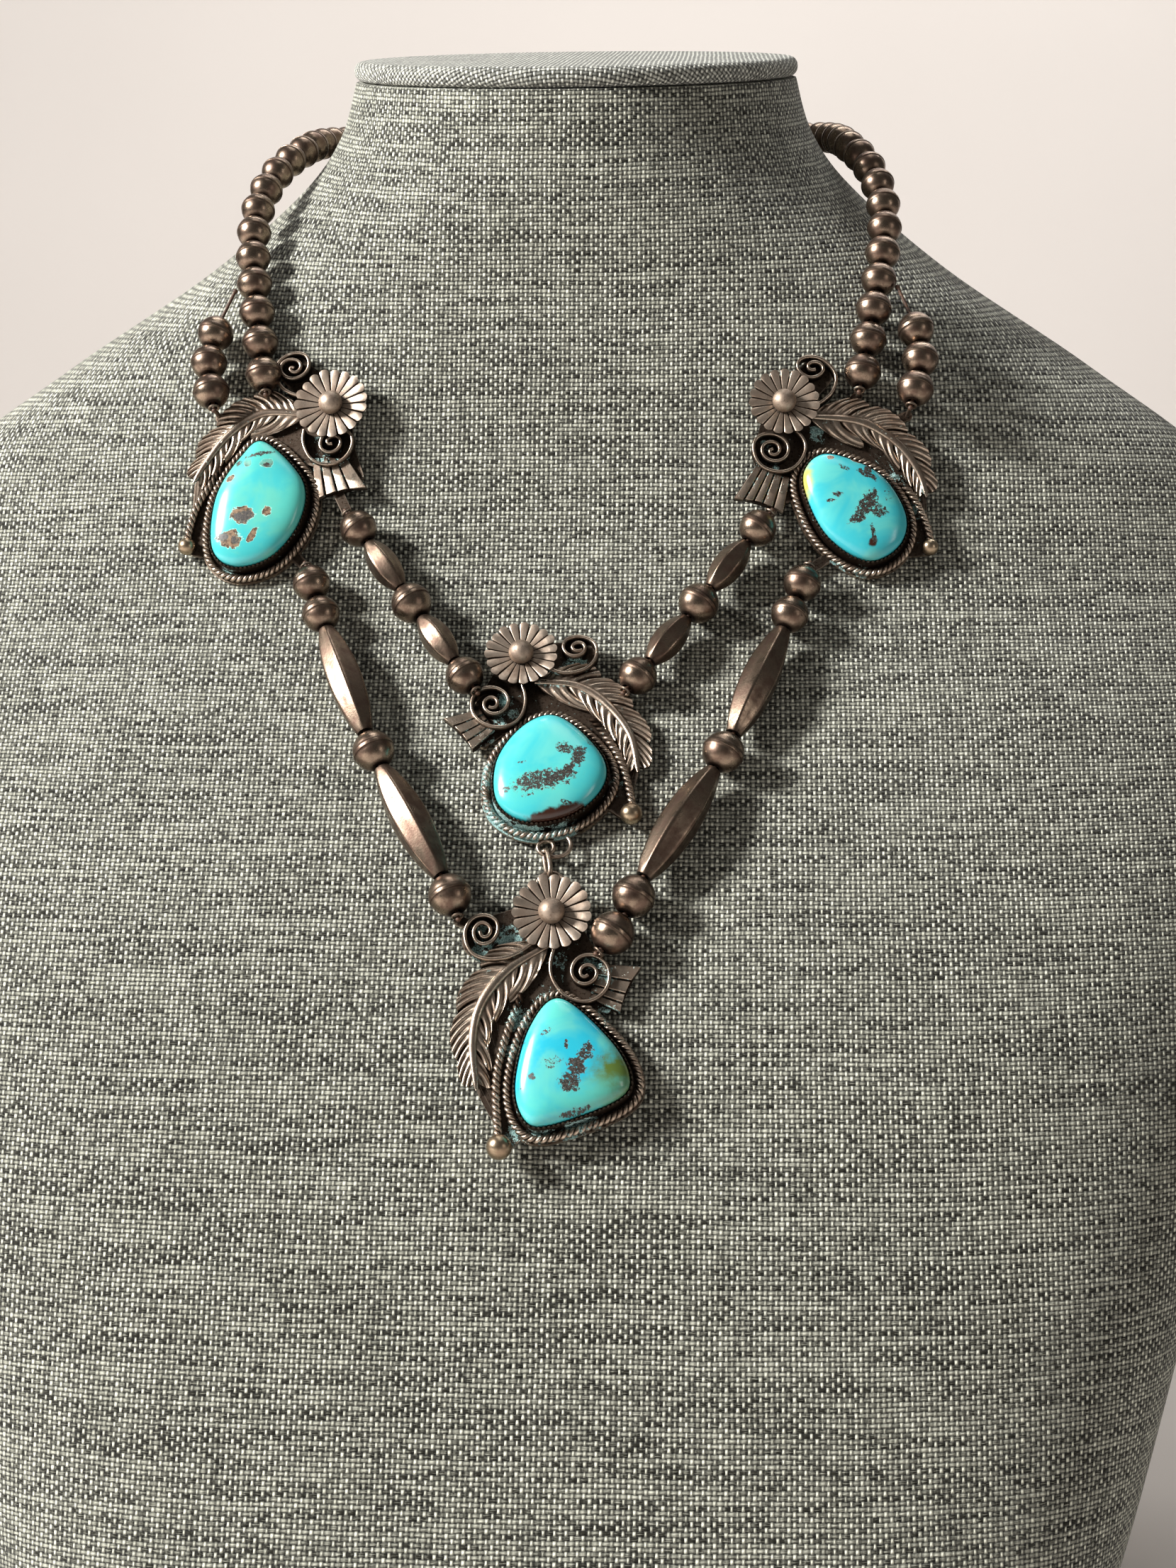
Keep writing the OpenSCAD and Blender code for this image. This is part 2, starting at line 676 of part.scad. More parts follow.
// Place of the thread eye at the start or at the end of a row, and a point of the thread beyond it
function first_eye(path) = [path[0], along(path, 2)];
function last_eye(path, lengths) =
    let (n = len(lengths) - 1, s = bead_place(lengths, n) + lengths[n] / 2 + EYE_GAP)
    [along(path, s), along(path, s - 2)];
function station_eyes(k) =
    k == PENDANT ? [for (t = [OUTER_LEFT, OUTER_RIGHT]) last_eye(strand_path(t), strand_lengths(t))]
    : k == CENTRE ? [for (t = [INNER_LEFT, INNER_RIGHT]) last_eye(strand_path(t), strand_lengths(t))]
    : let (side = k == LEFT ? -1 : 1)
    [
        first_eye(neck_path(side)),
        first_eye(shoulder_path(side)),
        first_eye(strand_path(k == LEFT ? INNER_LEFT : INNER_RIGHT)),
        first_eye(strand_path(k == LEFT ? OUTER_LEFT : OUTER_RIGHT))
    ];

module strand_bead(t, i) {
    b = t[2][i];
    color(silver)
        on_path(strand_path(t), bead_place(strand_lengths(t), i), b[0] / 2 - 0.1)
            if (b[2] == "round")
                round_bead(b[1]);
            else
                long_bead(b[0], b[1]);
}

module round_row(path, lengths)
    color(silver)
        for (i = [0 : len(lengths) - 1])
            on_path(path, bead_place(lengths, i), lengths[i] / 2 - 0.1)
                round_bead(lengths[i]);

// Thread through a list of points, with a small knot at each
module thread(p)
    color("#2b2420")
        union()
            for (i = [0 : len(p) - 1]) {
                translate(p[i])
                    rotate([70, 25, 0])
                        sphere(thread_r * 1.5, $fn = 24);
                if (i > 0) {
                    way = p[i - 1] - p[i];
                    translate(p[i])
                        rotate([0, acos(way.z / norm(way)), atan2(way.y, way.x)])
                            cylinder(h = norm(way), r = thread_r, $fn = 24);
                }
            }

// Points of a thread: both sides of its eye, and the middle of each gap between beads
function through_eye(e) = let (d = (e[1] - e[0]) / norm(e[1] - e[0])) [e[0] - 0.6 * d, e[0] + 0.5 * d];
function through_gaps(path, lengths, last) =
    [for (i = [0 : last]) along(path, bead_place(lengths, i) + (lengths[i] + bead_gap) / 2)];

module strand_thread(t) {
    end = through_eye(last_eye(strand_path(t), strand_lengths(t)));
    thread(concat(
        through_eye(first_eye(strand_path(t))),
        through_gaps(strand_path(t), strand_lengths(t), len(t[2]) - 2),
        [end[1], end[0]]
    ));
}

module row_thread(path, lengths, end)
    thread(concat(through_eye(first_eye(path)), through_gaps(path, lengths, len(lengths) - 1), [end]));

// Distance along a neck path to the end of its last bead
clasp_start = bead_place(NECK_LENGTHS, neck_beads - 1) + neck_d_back / 2 + bead_gap;

module neck_thread(side)
    row_thread(neck_path(side), NECK_LENGTHS, along(neck_path(side), clasp_start + 1));

module shoulder_thread(side)
    row_thread(shoulder_path(side), SHOULDER_LENGTHS, mirrored(SHOULDER_PATH, side)[len(SHOULDER_PATH) - 1]);

// Plain barrel between the last beads at the back of the neck
module clasp() {
    left = along(neck_path(-1), clasp_start);
    right = along(neck_path(1), clasp_start);
    half = norm(right - left) / 2;
    color(silver)
        translate((left + right) / 2)
            rotate([0, 90, 0])
                difference() {
                    union() {
                        cylinder(h = 2 * half - 3, r = clasp_d / 2, center = true, $fn = 48);
                        cylinder(h = 2 * half, r = clasp_d * 0.36, center = true, $fn = 48);
                    }
                    for (s = [-1, 1])
                        translate([0, 0, s * half])
                            cylinder(h = 6, r = bore_r, center = true, $fn = 24);
                }
}

bust();
neck_cap();
setting(PENDANT);  // pendant_setting
stone(PENDANT);  // pendant_stone
setting(CENTRE);  // centre_setting
stone(CENTRE);  // centre_stone
setting(LEFT);  // left_setting
stone(LEFT);  // left_stone
setting(RIGHT);  // right_setting
stone(RIGHT);  // right_stone
for (i = [0 : len(INNER_BEADS) - 1]) {
    strand_bead(INNER_LEFT, i);
    strand_bead(INNER_RIGHT, i);
}
for (i = [0 : len(OUTER_LEFT_BEADS) - 1])
    strand_bead(OUTER_LEFT, i);
for (i = [0 : len(OUTER_BEADS) - 1])
    strand_bead(OUTER_RIGHT, i);
round_row(neck_path(-1), NECK_LENGTHS);  // left_neck_beads
round_row(neck_path(1), NECK_LENGTHS);  // right_neck_beads
round_row(shoulder_path(-1), SHOULDER_LENGTHS);  // left_shoulder_beads
round_row(shoulder_path(1), SHOULDER_LENGTHS);  // right_shoulder_beads
strand_thread(INNER_LEFT);  // inner_left_thread
strand_thread(INNER_RIGHT);  // inner_right_thread
strand_thread(OUTER_LEFT);  // outer_left_thread
strand_thread(OUTER_RIGHT);  // outer_right_thread
neck_thread(-1);  // left_neck_thread
neck_thread(1);  // right_neck_thread
shoulder_thread(-1);  // left_shoulder_thread
shoulder_thread(1);  // right_shoulder_thread
pendant_link();
clasp();
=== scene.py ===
"""Dresses the two-strand station necklace and its neck bust: linen, silver beads, settings and stones.

Sizes are in millimetres until a mesh is made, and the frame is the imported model's own.
"""
import math

import bmesh
import bpy
import numpy as np
from mathutils import Matrix, Vector, geometry


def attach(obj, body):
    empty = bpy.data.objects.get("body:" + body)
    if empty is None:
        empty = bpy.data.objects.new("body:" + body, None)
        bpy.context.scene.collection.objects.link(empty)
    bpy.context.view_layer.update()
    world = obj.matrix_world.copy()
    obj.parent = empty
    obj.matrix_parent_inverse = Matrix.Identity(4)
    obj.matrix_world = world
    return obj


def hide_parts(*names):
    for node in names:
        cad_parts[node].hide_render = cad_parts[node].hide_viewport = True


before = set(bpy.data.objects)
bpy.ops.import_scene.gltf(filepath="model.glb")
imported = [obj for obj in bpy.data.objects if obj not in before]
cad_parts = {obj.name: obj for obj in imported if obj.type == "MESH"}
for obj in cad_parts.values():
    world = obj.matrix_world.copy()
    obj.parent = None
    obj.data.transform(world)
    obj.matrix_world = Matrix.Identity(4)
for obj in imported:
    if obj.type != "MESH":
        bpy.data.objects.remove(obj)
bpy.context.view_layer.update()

MM = 0.001
BODY = "root"
PENDANT, CENTRE, LEFT, RIGHT = range(4)
NAMES = ["pendant", "centre", "left", "right"]

# ---- Sizes of the model, as its source has them ----

# Height, middle, half width, depth to the front, depth to the back, squareness, slope of the ring
BUST_ROWS = np.array([
    [0, -12, 100, 82, 72, 3.6, 0],
    [35, -8, 112, 73, 74, 3.8, 0],
    [85, 4, 127, 66, 72, 4.0, 0],
    [130, 22, 139, 63, 66, 4.0, 0],
    [170, 43, 148, 58, 56, 3.5, 0],
    [200, 58, 151, 52, 47, 2.9, 0],
    [226, 68, 142, 51, 44, 2.7, 0],
    [250, 74, 114, 52.5, 44, 2.6, 6],
    [272, 77, 83, 52, 46, 2.5, 11],
    [290, 77, 62, 51, 48, 2.3, 14],
    [302, 76, 53, 49, 48, 2.1, 14],
    [314, 75, 49.3, 47.8, 47.8, 2.0, 14],
], float)
CAP_R, CAP_T = 49.6, 4.2

# x, z and gap to the linen of each station
SEATS = [(0, 128, 1.0), (0, 172, 1.0), (-59, 219, 1.8), (59, 219, 1.8)]
# Outline of each stone, from u and v
STONES = [
    [[4, -4], [-1.2, -9.5], [-3.4, -20], [-1.5, -26.4], [3, -27.2], [14.6, -22.6], [16.8, -18.2],
     [12.8, -11.2]],
    [[0, 1.4], [-5.6, -1.8], [-9.6, -9], [-9, -17.5], [-3, -21.6], [5, -20], [10.4, -14.5], [10.8, -8.5],
     [5.5, -1.5]],
    [[-1, 9.3], [-5.5, 6.2], [-10, -2.5], [-10, -13.6], [-5, -17.6], [2.5, -15.2], [7.6, -7.5], [7.4, 1]],
    [[-5, 6.3], [-9.8, 3], [-9.6, -3], [-5.6, -11.4], [2, -16.4], [8.4, -13.2], [9.9, -6.6], [5, 2]],
]
# u, v and radius of each flower
FLOWERS = [(2, 12.8, 7.4), (-6, 15.8, 7.2), (12, 18, 7.6), (-13.5, 18, 7.2)]
# u, v and radius of the disc behind each scroll
SMALL_SCROLLS = [(-10.7, 8.4, 4.1), (4.9, 16.6, 3.9), (3.1, 26.6, 3.5), (-6.6, 25.2, 3.6)]
LARGE_SCROLLS = [(7.6, 0.8, 5.0), (-10.4, 3.8, 4.7), (12.2, 9.0, 4.6), (-15.2, 7.2, 4.6)]
# Each scroll's wire from the eye of its coil to the end of its tail
SMALL_SCROLL_WIRES = [
    [[-11.1, 9.2], [-10.8, 8.2], [-10, 8], [-9.2, 8.7], [-9.1, 9.8], [-9.8, 10.6], [-10.9, 11], [-12, 10.1],
     [-12.3, 8.7], [-11.7, 7.3], [-10.4, 6.7], [-8.9, 7.3], [-7.9, 8.8], [-7.9, 10.8], [-9, 12],
     [-10.6, 12.4], [-12.5, 11.8], [-13.7, 9.9], [-13.8, 8.1], [-13.2, 6.1], [-12, 4.7], [-10.1, 4],
     [-8, 3.9], [-5.7, 4.3], [-3.8, 5.2], [-2.4, 6.2], [-1, 7.4]],
    [[5.8, 17.2], [5, 16.9], [4, 17.2], [3.8, 18.1], [4.6, 18.9], [5.8, 18.8], [6.4, 17.7], [6, 16.5],
     [4.7, 15.8], [3.1, 16.1], [2.1, 17.5], [2.3, 19.2], [3.5, 20.1], [5.2, 20.3], [7, 19.8], [8.2, 18.7],
     [8.7, 17.1], [8.3, 14.9], [6.8, 13.1], [4.8, 12.2], [2.8, 11.9], [1.1, 12.2], [-0.6, 13]],
    [[3.4, 26.4], [2.9, 26.8], [2.4, 26.3], [3, 25.5], [4, 25.5], [4.8, 26.4], [4.6, 27.6], [3.3, 28.4],
     [1.7, 28.3], [0.7, 27.4], [0.6, 26.1], [1.4, 24.8], [2.9, 24.1], [4.6, 24.4], [6, 25.5], [6.5, 27.2],
     [6, 28.9], [4.6, 29.8], [2.8, 29.8], [1.1, 29], [-0.1, 27.6], [-0.4, 25.7], [0.1, 23.9], [1.3, 22],
     [3.2, 20.8], [5.3, 20.1], [7, 19.6]],
    [[-6.8, 25.6], [-7.7, 25.4], [-8.3, 26], [-8.1, 26.9], [-7.1, 27.3], [-5.8, 27], [-5.1, 25.8],
     [-5.8, 24.5], [-7.7, 23.8], [-9.3, 24.4], [-10.3, 25.7], [-10.4, 26.9], [-9.6, 28], [-7.8, 28.5],
     [-5.6, 28], [-3.9, 26.6], [-2.8, 24.8], [-2.7, 22.7], [-3.6, 20.5], [-5.2, 18.9], [-6.3, 18.1],
     [-7.8, 17.4]],
]
LARGE_SCROLL_WIRES = [
    [[8.9, 1], [8.4, 0.4], [7.7, 0.7], [7.4, 1.7], [7.9, 2.7], [8.9, 3], [10.1, 2.5], [10.6, 1.3], [10, 0],
     [8.5, -0.8], [6.9, -0.3], [5.9, 1.3], [6.2, 3.2], [7.4, 4.5], [9.2, 4.9], [11.2, 4.2], [12.6, 2.4],
     [12.8, 0.2], [12.1, -1.9], [10.2, -3.6], [7.8, -4.1], [5.3, -3.3], [3.4, -1.4], [2.3, 0.6], [2, 2.8],
     [2.3, 5], [3, 7.4]],
    [[-11.8, 4.1], [-11, 3.7], [-10.2, 4.4], [-10.2, 5.6], [-11.2, 6.4], [-12.3, 6.1], [-12.9, 4.9],
     [-12.5, 3.5], [-11.3, 2.6], [-9.6, 2.8], [-8.4, 4.1], [-8.1, 5.9], [-9.2, 7.7], [-11.3, 8.6],
     [-13.6, 8.1], [-15, 6.4], [-15.2, 4.1], [-14.5, 2.1], [-12.9, 0.5], [-10.8, -0.3], [-8.5, -0.3],
     [-6.5, 0.7], [-5.3, 2.5], [-4.8, 5], [-5, 7.3], [-5.4, 8.5], [-6, 10.4]],
    [[12.7, 9.5], [11.9, 9.3], [11.5, 10.2], [12.2, 11.1], [13.4, 11.3], [14.4, 10.3], [14.3, 8.9],
     [13.3, 7.8], [11.7, 7.6], [10.4, 8.5], [10.2, 10], [10.9, 11.6], [12.6, 12.6], [14.3, 12.8],
     [15.9, 12.1], [16.8, 10.7], [16.8, 8.8], [15.9, 6.8], [14.2, 5.4], [12.1, 4.9], [10.2, 5.2], [8.4, 6.3],
     [7.2, 8.2], [6.5, 10.4], [6.6, 12.6]],
    [[-16, 8], [-16.7, 8], [-16.8, 7.2], [-16, 6.6], [-14.9, 7], [-14.5, 8.2], [-15.2, 9.4], [-16.5, 9.7],
     [-17.8, 9.1], [-18.3, 7.6], [-17.6, 6.2], [-16, 5.4], [-14.2, 5.7], [-13, 7], [-12.9, 9], [-14.1, 10.6],
     [-16.2, 11.4], [-18.4, 11.1], [-19.7, 9.7], [-19.9, 7.8], [-19.4, 5.8], [-18, 4.1], [-15.8, 3.2],
     [-13.6, 3.2], [-11.6, 4.2], [-10.2, 5.9], [-9.4, 7.8], [-9.4, 9.4], [-10.2, 11], [-11.6, 12.6]],
]
# Corners of each fan: top and bottom of its near edge, top and bottom of its far edge; then its band lines
FANS = [
    ((10.8, 3.6), (9.2, -3.2), (18.6, 3.1), (14.8, -5.8), (0.34, 0.62, 0.82)),
    ((-13.8, 4.2), (-10.4, -0.6), (-20.6, 2.1), (-14.5, -5.0), (0.28, 0.53, 0.76)),
    ((8.6, 6.6), (15.9, 6.6), (9.7, -2.6), (20.5, 0.2), (0.22, 0.45, 0.68)),
    ((-19.3, 5.2), (-12.6, 2.0), (-24.2, -2.3), (-14.1, -5.4), (0.2, 0.38, 0.56, 0.78)),
]
# Rib of each leaf, and the side of its smooth vane
LEAVES = [
    ([[1.6, 6.9], [-5.5, 2.3], [-10.2, -4.1], [-11.6, -11.5], [-10.5, -20.6]], -1),
    ([[-3.2, 10.2], [4.5, 9.6], [10.4, 5.8], [15.5, -1.3], [17.2, -9.7]], 1),
    ([[6.6, 16.2], [-2.6, 16.6], [-9.2, 12.2], [-13.6, 5.9], [-15.9, 1.4]], -1),
    ([[-8.4, 15.4], [2.2, 14.3], [9.4, 9.6], [13.4, 3.4], [14.8, -2]], 1),
]
# Path of each stem, then the place and radius of its ball
STEMS = [
    ([[-3, -2.6], [-5.2, -9], [-6.8, -16], [-7, -21.5], [-6.4, -28]], [-6.0, -31], 2.3),
    ([[8.2, 2], [11.6, -3], [14.2, -8.4], [15.9, -15]], [16.1, -19], 2.1),
    ([[-10, 4.6], [-12.2, 1], [-14.6, -3.6], [-15.8, -9]], [-15.9, -12.6], 1.8),
    ([[8, 2.8], [11.4, -1], [13.6, -5.4], [14.9, -10]], [14.9, -12.8], 1.7),
]
# How crusted the inner edge of each leaf is
LEAF_CRUSTS = [1.5, 4.5, 0.5, 2.5]
# u, v, radius and strength of each patch of verdigris
CRUSTS = [
    [(-5.9, 7.4, 3.0, 1.0), (-10.1, 5.6, 2.4, 0.9), (-10.9, 10.1, 1.6, 0.7), (1.4, -3.0, 1.8, 0.7),
     (9.5, 3.6, 1.4, 0.9), (12, 1.4, 1.2, 0.7), (12.6, -6.2, 1.9, 0.9), (3.7, 4.2, 1.6, 0.6),
     (-3.2, -7.3, 2.4, 0.8), (-4.2, -13, 2.4, 0.7), (-3.6, -28.6, 2.2, 0.62), (8, -26.8, 3.2, 0.8),
     (1.5, -28, 2.4, 0.7)],
    [(4.7, 14.1, 2.4, 1.0), (0.8, 10.9, 2.0, 1.0), (-9.2, 6.5, 1.7, 0.8), (-9.8, 1.3, 1.5, 0.8),
     (-7.5, 3.7, 1.6, 0.6), (-12.4, -10.7, 3.6, 1.0), (-9.5, -19.6, 4.0, 1.1), (-3.5, -23.4, 3.8, 1.0),
     (3, -23, 3, 0.8), (-10.4, -3.4, 2.0, 0.6), (12.8, -11, 2, 0.4)],
    [(10.4, 6.9, 1.6, 0.6), (15.2, 6.9, 1.2, 0.6), (-6.5, -17, 2, 0.5), (2, 22, 1.6, 0.5),
     (9.6, 11, 1.4, 0.4)],
    [(-6.8, 12.1, 1.6, 0.9), (-17.3, 9.8, 1.1, 0.8), (-15.2, 4.3, 1.2, 0.7), (-12.4, -8.6, 1.8, 0.8),
     (-4.2, -17.6, 2.0, 0.9), (0.6, -19, 1.8, 0.7), (12.6, -4.4, 2.0, 0.6), (8.7, 2.4, 1.8, 0.7)],
]
# Where the tab of each thread's eye starts
EYE_ROOTS = [
    [[-8, 9], [7, 4]],
    [[-9, 7], [10, 6]],
    [[4, 17], [-6, 9], [14, 0], [4, -12]],
    [[-4, 14], [3.4, 12.5], [-15, -1], [-3, -13]],
]
# u, v and radius of the rings for the link
PENDANT_LOOP = (1.5, 19.0, 2.6)
CENTRE_LOOP = (0.2, -25.4, 1.5)
OPEN_LOOP = (2.3, -25.2, 2.6)
# Paths of the strands: x, y and z, or x and z on the chest
NECK_PATH = [
    [60.7, 18.6, 240.2], [61.4, 20.6, 244], [64, 27.6, 257.5], [66.5, 37, 271], [67, 46.5, 282],
    [64.4, 57.5, 291.5], [60.6, 70, 298], [58.6, 84, 302], [53.4, 101.5, 305.5], [40, 117.4, 308],
    [21, 127.4, 309.5], [0, 130.6, 310],
]
SHOULDER_PATH = [
    [70.9, 15.9, 236.8], [71.8, 18, 240.4], [73.6, 23.1, 247.4], [72.3, 27.6, 254.2], [69, 30, 262],
]
INNER_PATH = [
    [42.6, 215.2], [40.2, 212.2], [34.2, 204.6], [28.1, 196.8], [22.2, 189.6], [16.8, 183.4], [13, 178.8],
]
OUTER_PATH = [
    [50.2, 204.6], [48.8, 201.2], [46.1, 194.6], [39.7, 181.4], [32.8, 168.4], [24.8, 155.9], [16.6, 144.2],
    [14.5, 138.2], [10.6, 134.5],
]
# Length and diameter of each kind of bead
SMALL, LARGE, LONG, SHORT = (7.4, 7.4), (8.0, 8.0), (26.0, 7.3), (12.3, 5.8)
INNER_BEADS = [SMALL, SHORT, LARGE, SHORT, SMALL]
OUTER_BEADS = [SMALL, SMALL, LONG, LARGE, LONG, LARGE, LARGE]
BEAD_GAP, BORE_R, EYE_GAP = 0.35, 0.95, 0.6
BEAD_LIFT = LARGE[1] / 2 + 0.5
NECK_BEADS, NECK_D_FRONT, NECK_D_BACK = 22, 7.4, 6.3
PLATE_T, BEZEL_H, BEZEL_T, STONE_GAP, STONE_RISE = 0.8, 3.9, 0.5, 0.12, 2.7
ROPE_OUT, SCROLL_H, SCROLL_T = 1.75, 2.1, 0.5
PETALS = 19

# ---- Sizes of the fine work, in the scene alone ----

ROPE_R, ROPE_PITCH, ROPE_LIFT = 0.42, 2.3, 0.62
STEM_PITCH, STEM_LIFT, STEM_SHADED = 2.4, 0.85, 7
EYE_R, EYE_WIRE, EYE_POST_R = 0.98, 0.24, 0.45
RING_WIRE, OPEN_RING_WIRE, LINK_WIRE = 0.4, 0.42, 0.48
TOOTH_PITCH, TOOTH_H = 0.85, 0.5
FLOWER_H, PETAL_T, BUTTON_R, FLOWER_POST_R = 3.0, 0.32, 2.45, 2.0
LEAF_LIFT, LEAF_DROP = 1.35, 0.35
SCROLL_EDGE = 0.13


# ---- Curves and places ----

def between(a, b, c, d, u):
    """Smooth curve through four neighbouring values, at u from the second to the third."""
    m, n = (c - a) / 2, (d - b) / 2
    return ((2 * u ** 3 - 3 * u ** 2 + 1) * b + (u ** 3 - 2 * u ** 2 + u) * m
            + (3 * u ** 2 - 2 * u ** 3) * c + (u ** 3 - u ** 2) * n)


def spline(points, steps):
    """Smooth open curve through points."""
    p = np.asarray(points, float)
    last = len(p) - 1
    curve = [between(p[max(i - 1, 0)], p[i], p[i + 1], p[min(i + 2, last)], k / steps)
             for i in range(last) for k in range(steps)]
    return np.array(curve + [p[last]])


def closed_spline(points, steps):
    """Smooth closed curve through points."""
    p = np.asarray(points, float)
    n = len(p)
    return np.array([between(p[i - 1], p[i], p[(i + 1) % n], p[(i + 2) % n], k / steps)
                     for i in range(n) for k in range(steps)])


def unit(vectors):
    """Vectors cut to a length of 1."""
    vectors = np.asarray(vectors, float)
    return vectors / np.linalg.norm(vectors, axis=-1, keepdims=True)


def grown(outline, d):
    """Closed outline moved out by d, which may differ from point to point."""
    way = unit(np.roll(outline, -1, 0) - np.roll(outline, 1, 0))
    return outline + np.c_[way[:, 1], -way[:, 0]] * np.reshape(d, (-1, 1))


def distances(path):
    """Distance of each point of a path from its start."""
    return np.r_[0, np.cumsum(np.linalg.norm(np.diff(path, axis=0), axis=1))]


def along(path, s):
    """Points at the distances s along a path."""
    d = distances(path)
    return np.stack([np.interp(s, d, path[:, k]) for k in range(path.shape[1])], -1)


def evenly(path, n, closed=False):
    """A path's n points at equal distances."""
    if closed:
        path = np.vstack([path, path[:1]])
    return along(path, np.linspace(0, distances(path)[-1], n + 1 if closed else n)[:n])


def bust_row(t):
    """Sizes of the bust between two of its rows."""
    i = min(int(t), len(BUST_ROWS) - 2)
    r = BUST_ROWS
    return between(r[max(i - 1, 0)], r[i], r[i + 1], r[min(i + 2, len(r) - 1)], t - i)


def row_at(z):
    """Parameter of the bust row at height z."""
    low, high, halvings = 0.0, 7.0, 14
    for _ in range(halvings):
        mid = (low + high) / 2
        if bust_row(mid)[0] < z:
            low = mid
        else:
            high = mid
    return (low + high) / 2


def chest_y(x, z):
    """How far back the linen lies at a place on the chest."""
    row = bust_row(row_at(z))
    return row[1] - row[3] * (1 - min(abs(x) / row[2], 1) ** row[5]) ** (1 / row[5])


def chest_out(x, z):
    """Unit vector out of the chest."""
    d = 2
    across, up = chest_y(x + d, z) - chest_y(x - d, z), chest_y(x, z + d) - chest_y(x, z - d)
    return unit([across / (2 * d), -1, up / (2 * d)])


class Station:
    """A station's own directions: u to the right, v up its face and w out of it."""

    def __init__(self, k):
        x, z, gap = SEATS[k]
        out = chest_out(x, z)
        lean, turn = math.asin(out[2]), math.atan2(out[0], -out[1])
        cl, sl, ct, st = math.cos(lean), math.sin(lean), math.cos(turn), math.sin(turn)
        self.origin = np.array([x, chest_y(x, z), z]) + out * gap
        self.axes = np.array([[ct, st, 0], [-st * sl, ct * sl, cl], [st * cl, -ct * cl, sl]])

    def world(self, p):
        return self.origin + np.asarray(p, float) @ self.axes

    def local(self, p):
        return (np.asarray(p, float) - self.origin) @ self.axes.T


STATIONS = [Station(k) for k in range(4)]


def strand_path(side, path):
    """A strand's path just off the chest."""
    points = spline(path, 6)
    return np.array([[side * x, chest_y(x, z) + BEAD_LIFT / chest_out(x, z)[1], z] for x, z in points])


def mirrored(path, side):
    """Path on the right side, 1, or on the left, -1."""
    return np.asarray(path) * [side, 1, 1]


def bead_middle(lengths, i):
    """Distance of a bead's middle from the start of its strand."""
    return EYE_GAP + sum(lengths[:i]) + i * BEAD_GAP + lengths[i] / 2


def first_eye(path):
    """Place of the eye where a strand starts, and a point that it faces."""
    return path[0], along(path, 2)


def last_eye(path, beads):
    """Place of the eye where a strand ends, and a point that it faces."""
    lengths = [b[0] for b in beads]
    s = bead_middle(lengths, len(lengths) - 1) + lengths[-1] / 2 + EYE_GAP
    return along(path, s), along(path, s - 2)


NECK_LENGTHS = [NECK_D_FRONT + (NECK_D_BACK - NECK_D_FRONT) * i / (NECK_BEADS - 1) for i in range(NECK_BEADS)]
STRANDS = {
    "inner_left": (strand_path(-1, INNER_PATH), INNER_BEADS),
    "inner_right": (strand_path(1, INNER_PATH), INNER_BEADS),
    "outer_left": (strand_path(-1, OUTER_PATH), OUTER_BEADS[:6]),
    "outer_right": (strand_path(1, OUTER_PATH), OUTER_BEADS),
}
ROWS = {
    "left_neck": (mirrored(spline(NECK_PATH, 6), -1), NECK_LENGTHS),
    "right_neck": (mirrored(spline(NECK_PATH, 6), 1), NECK_LENGTHS),
    "left_shoulder": (mirrored(spline(SHOULDER_PATH, 4), -1), [SMALL[1]] * 3),
    "right_shoulder": (mirrored(spline(SHOULDER_PATH, 4), 1), [SMALL[1]] * 3),
}
SIDES = ("left", "right")
STATION_EYES = [[last_eye(*STRANDS[f"{strand}_{side}"]) for side in SIDES] for strand in ("outer", "inner")]
STATION_EYES += [[first_eye(line[0]) for line in (ROWS[side + "_neck"], ROWS[side + "_shoulder"],
                                                  STRANDS["inner_" + side], STRANDS["outer_" + side])]
                 for side in SIDES]


# ---- Shapes ----

def clamp(values):
    """Values kept between 0 and 1."""
    return np.clip(values, 0, 1)


def level(flat, height):
    """Flat points at one height, or each at its own."""
    return np.c_[flat, np.broadcast_to(height, len(flat))]


class Shape:
    """Points with faces; how hidden each point is, which darkens it with patina and painted shade, and how
    crusted it is, from 0 to 1.
    """

    def __init__(self):
        self.points, self.faces, self.recess, self.crust = [], [], [], []

    def add(self, points, faces, recess=0.0, crust=0.0):
        start = len(self.points)
        points = np.asarray(points, float).reshape(-1, 3)
        self.points.extend(points)
        self.faces.extend([[start + i for i in f] for f in faces])
        self.recess.extend(np.broadcast_to(np.ravel(recess), len(points)))
        self.crust.extend(np.broadcast_to(np.ravel(crust), len(points)))


def skin_faces(rings, points, closed):
    """Faces of a tube through rings of points, with its ends closed unless it runs round."""
    faces = []
    for i in range(rings if closed else rings - 1):
        j = (i + 1) % rings
        for k in range(points):
            m = (k + 1) % points
            faces.append([i * points + k, i * points + m, j * points + m, j * points + k])
    if not closed:
        faces.append(list(range(points - 1, -1, -1)))
        faces.append([(rings - 1) * points + k for k in range(points)])
    return faces


def add_skin(shape, rings, closed=False, recess=0.0, crust=0.0):
    """Adds a tube through rings of points."""
    rings = np.asarray(rings, float)
    shape.add(rings, skin_faces(rings.shape[0], rings.shape[1], closed), recess, crust)


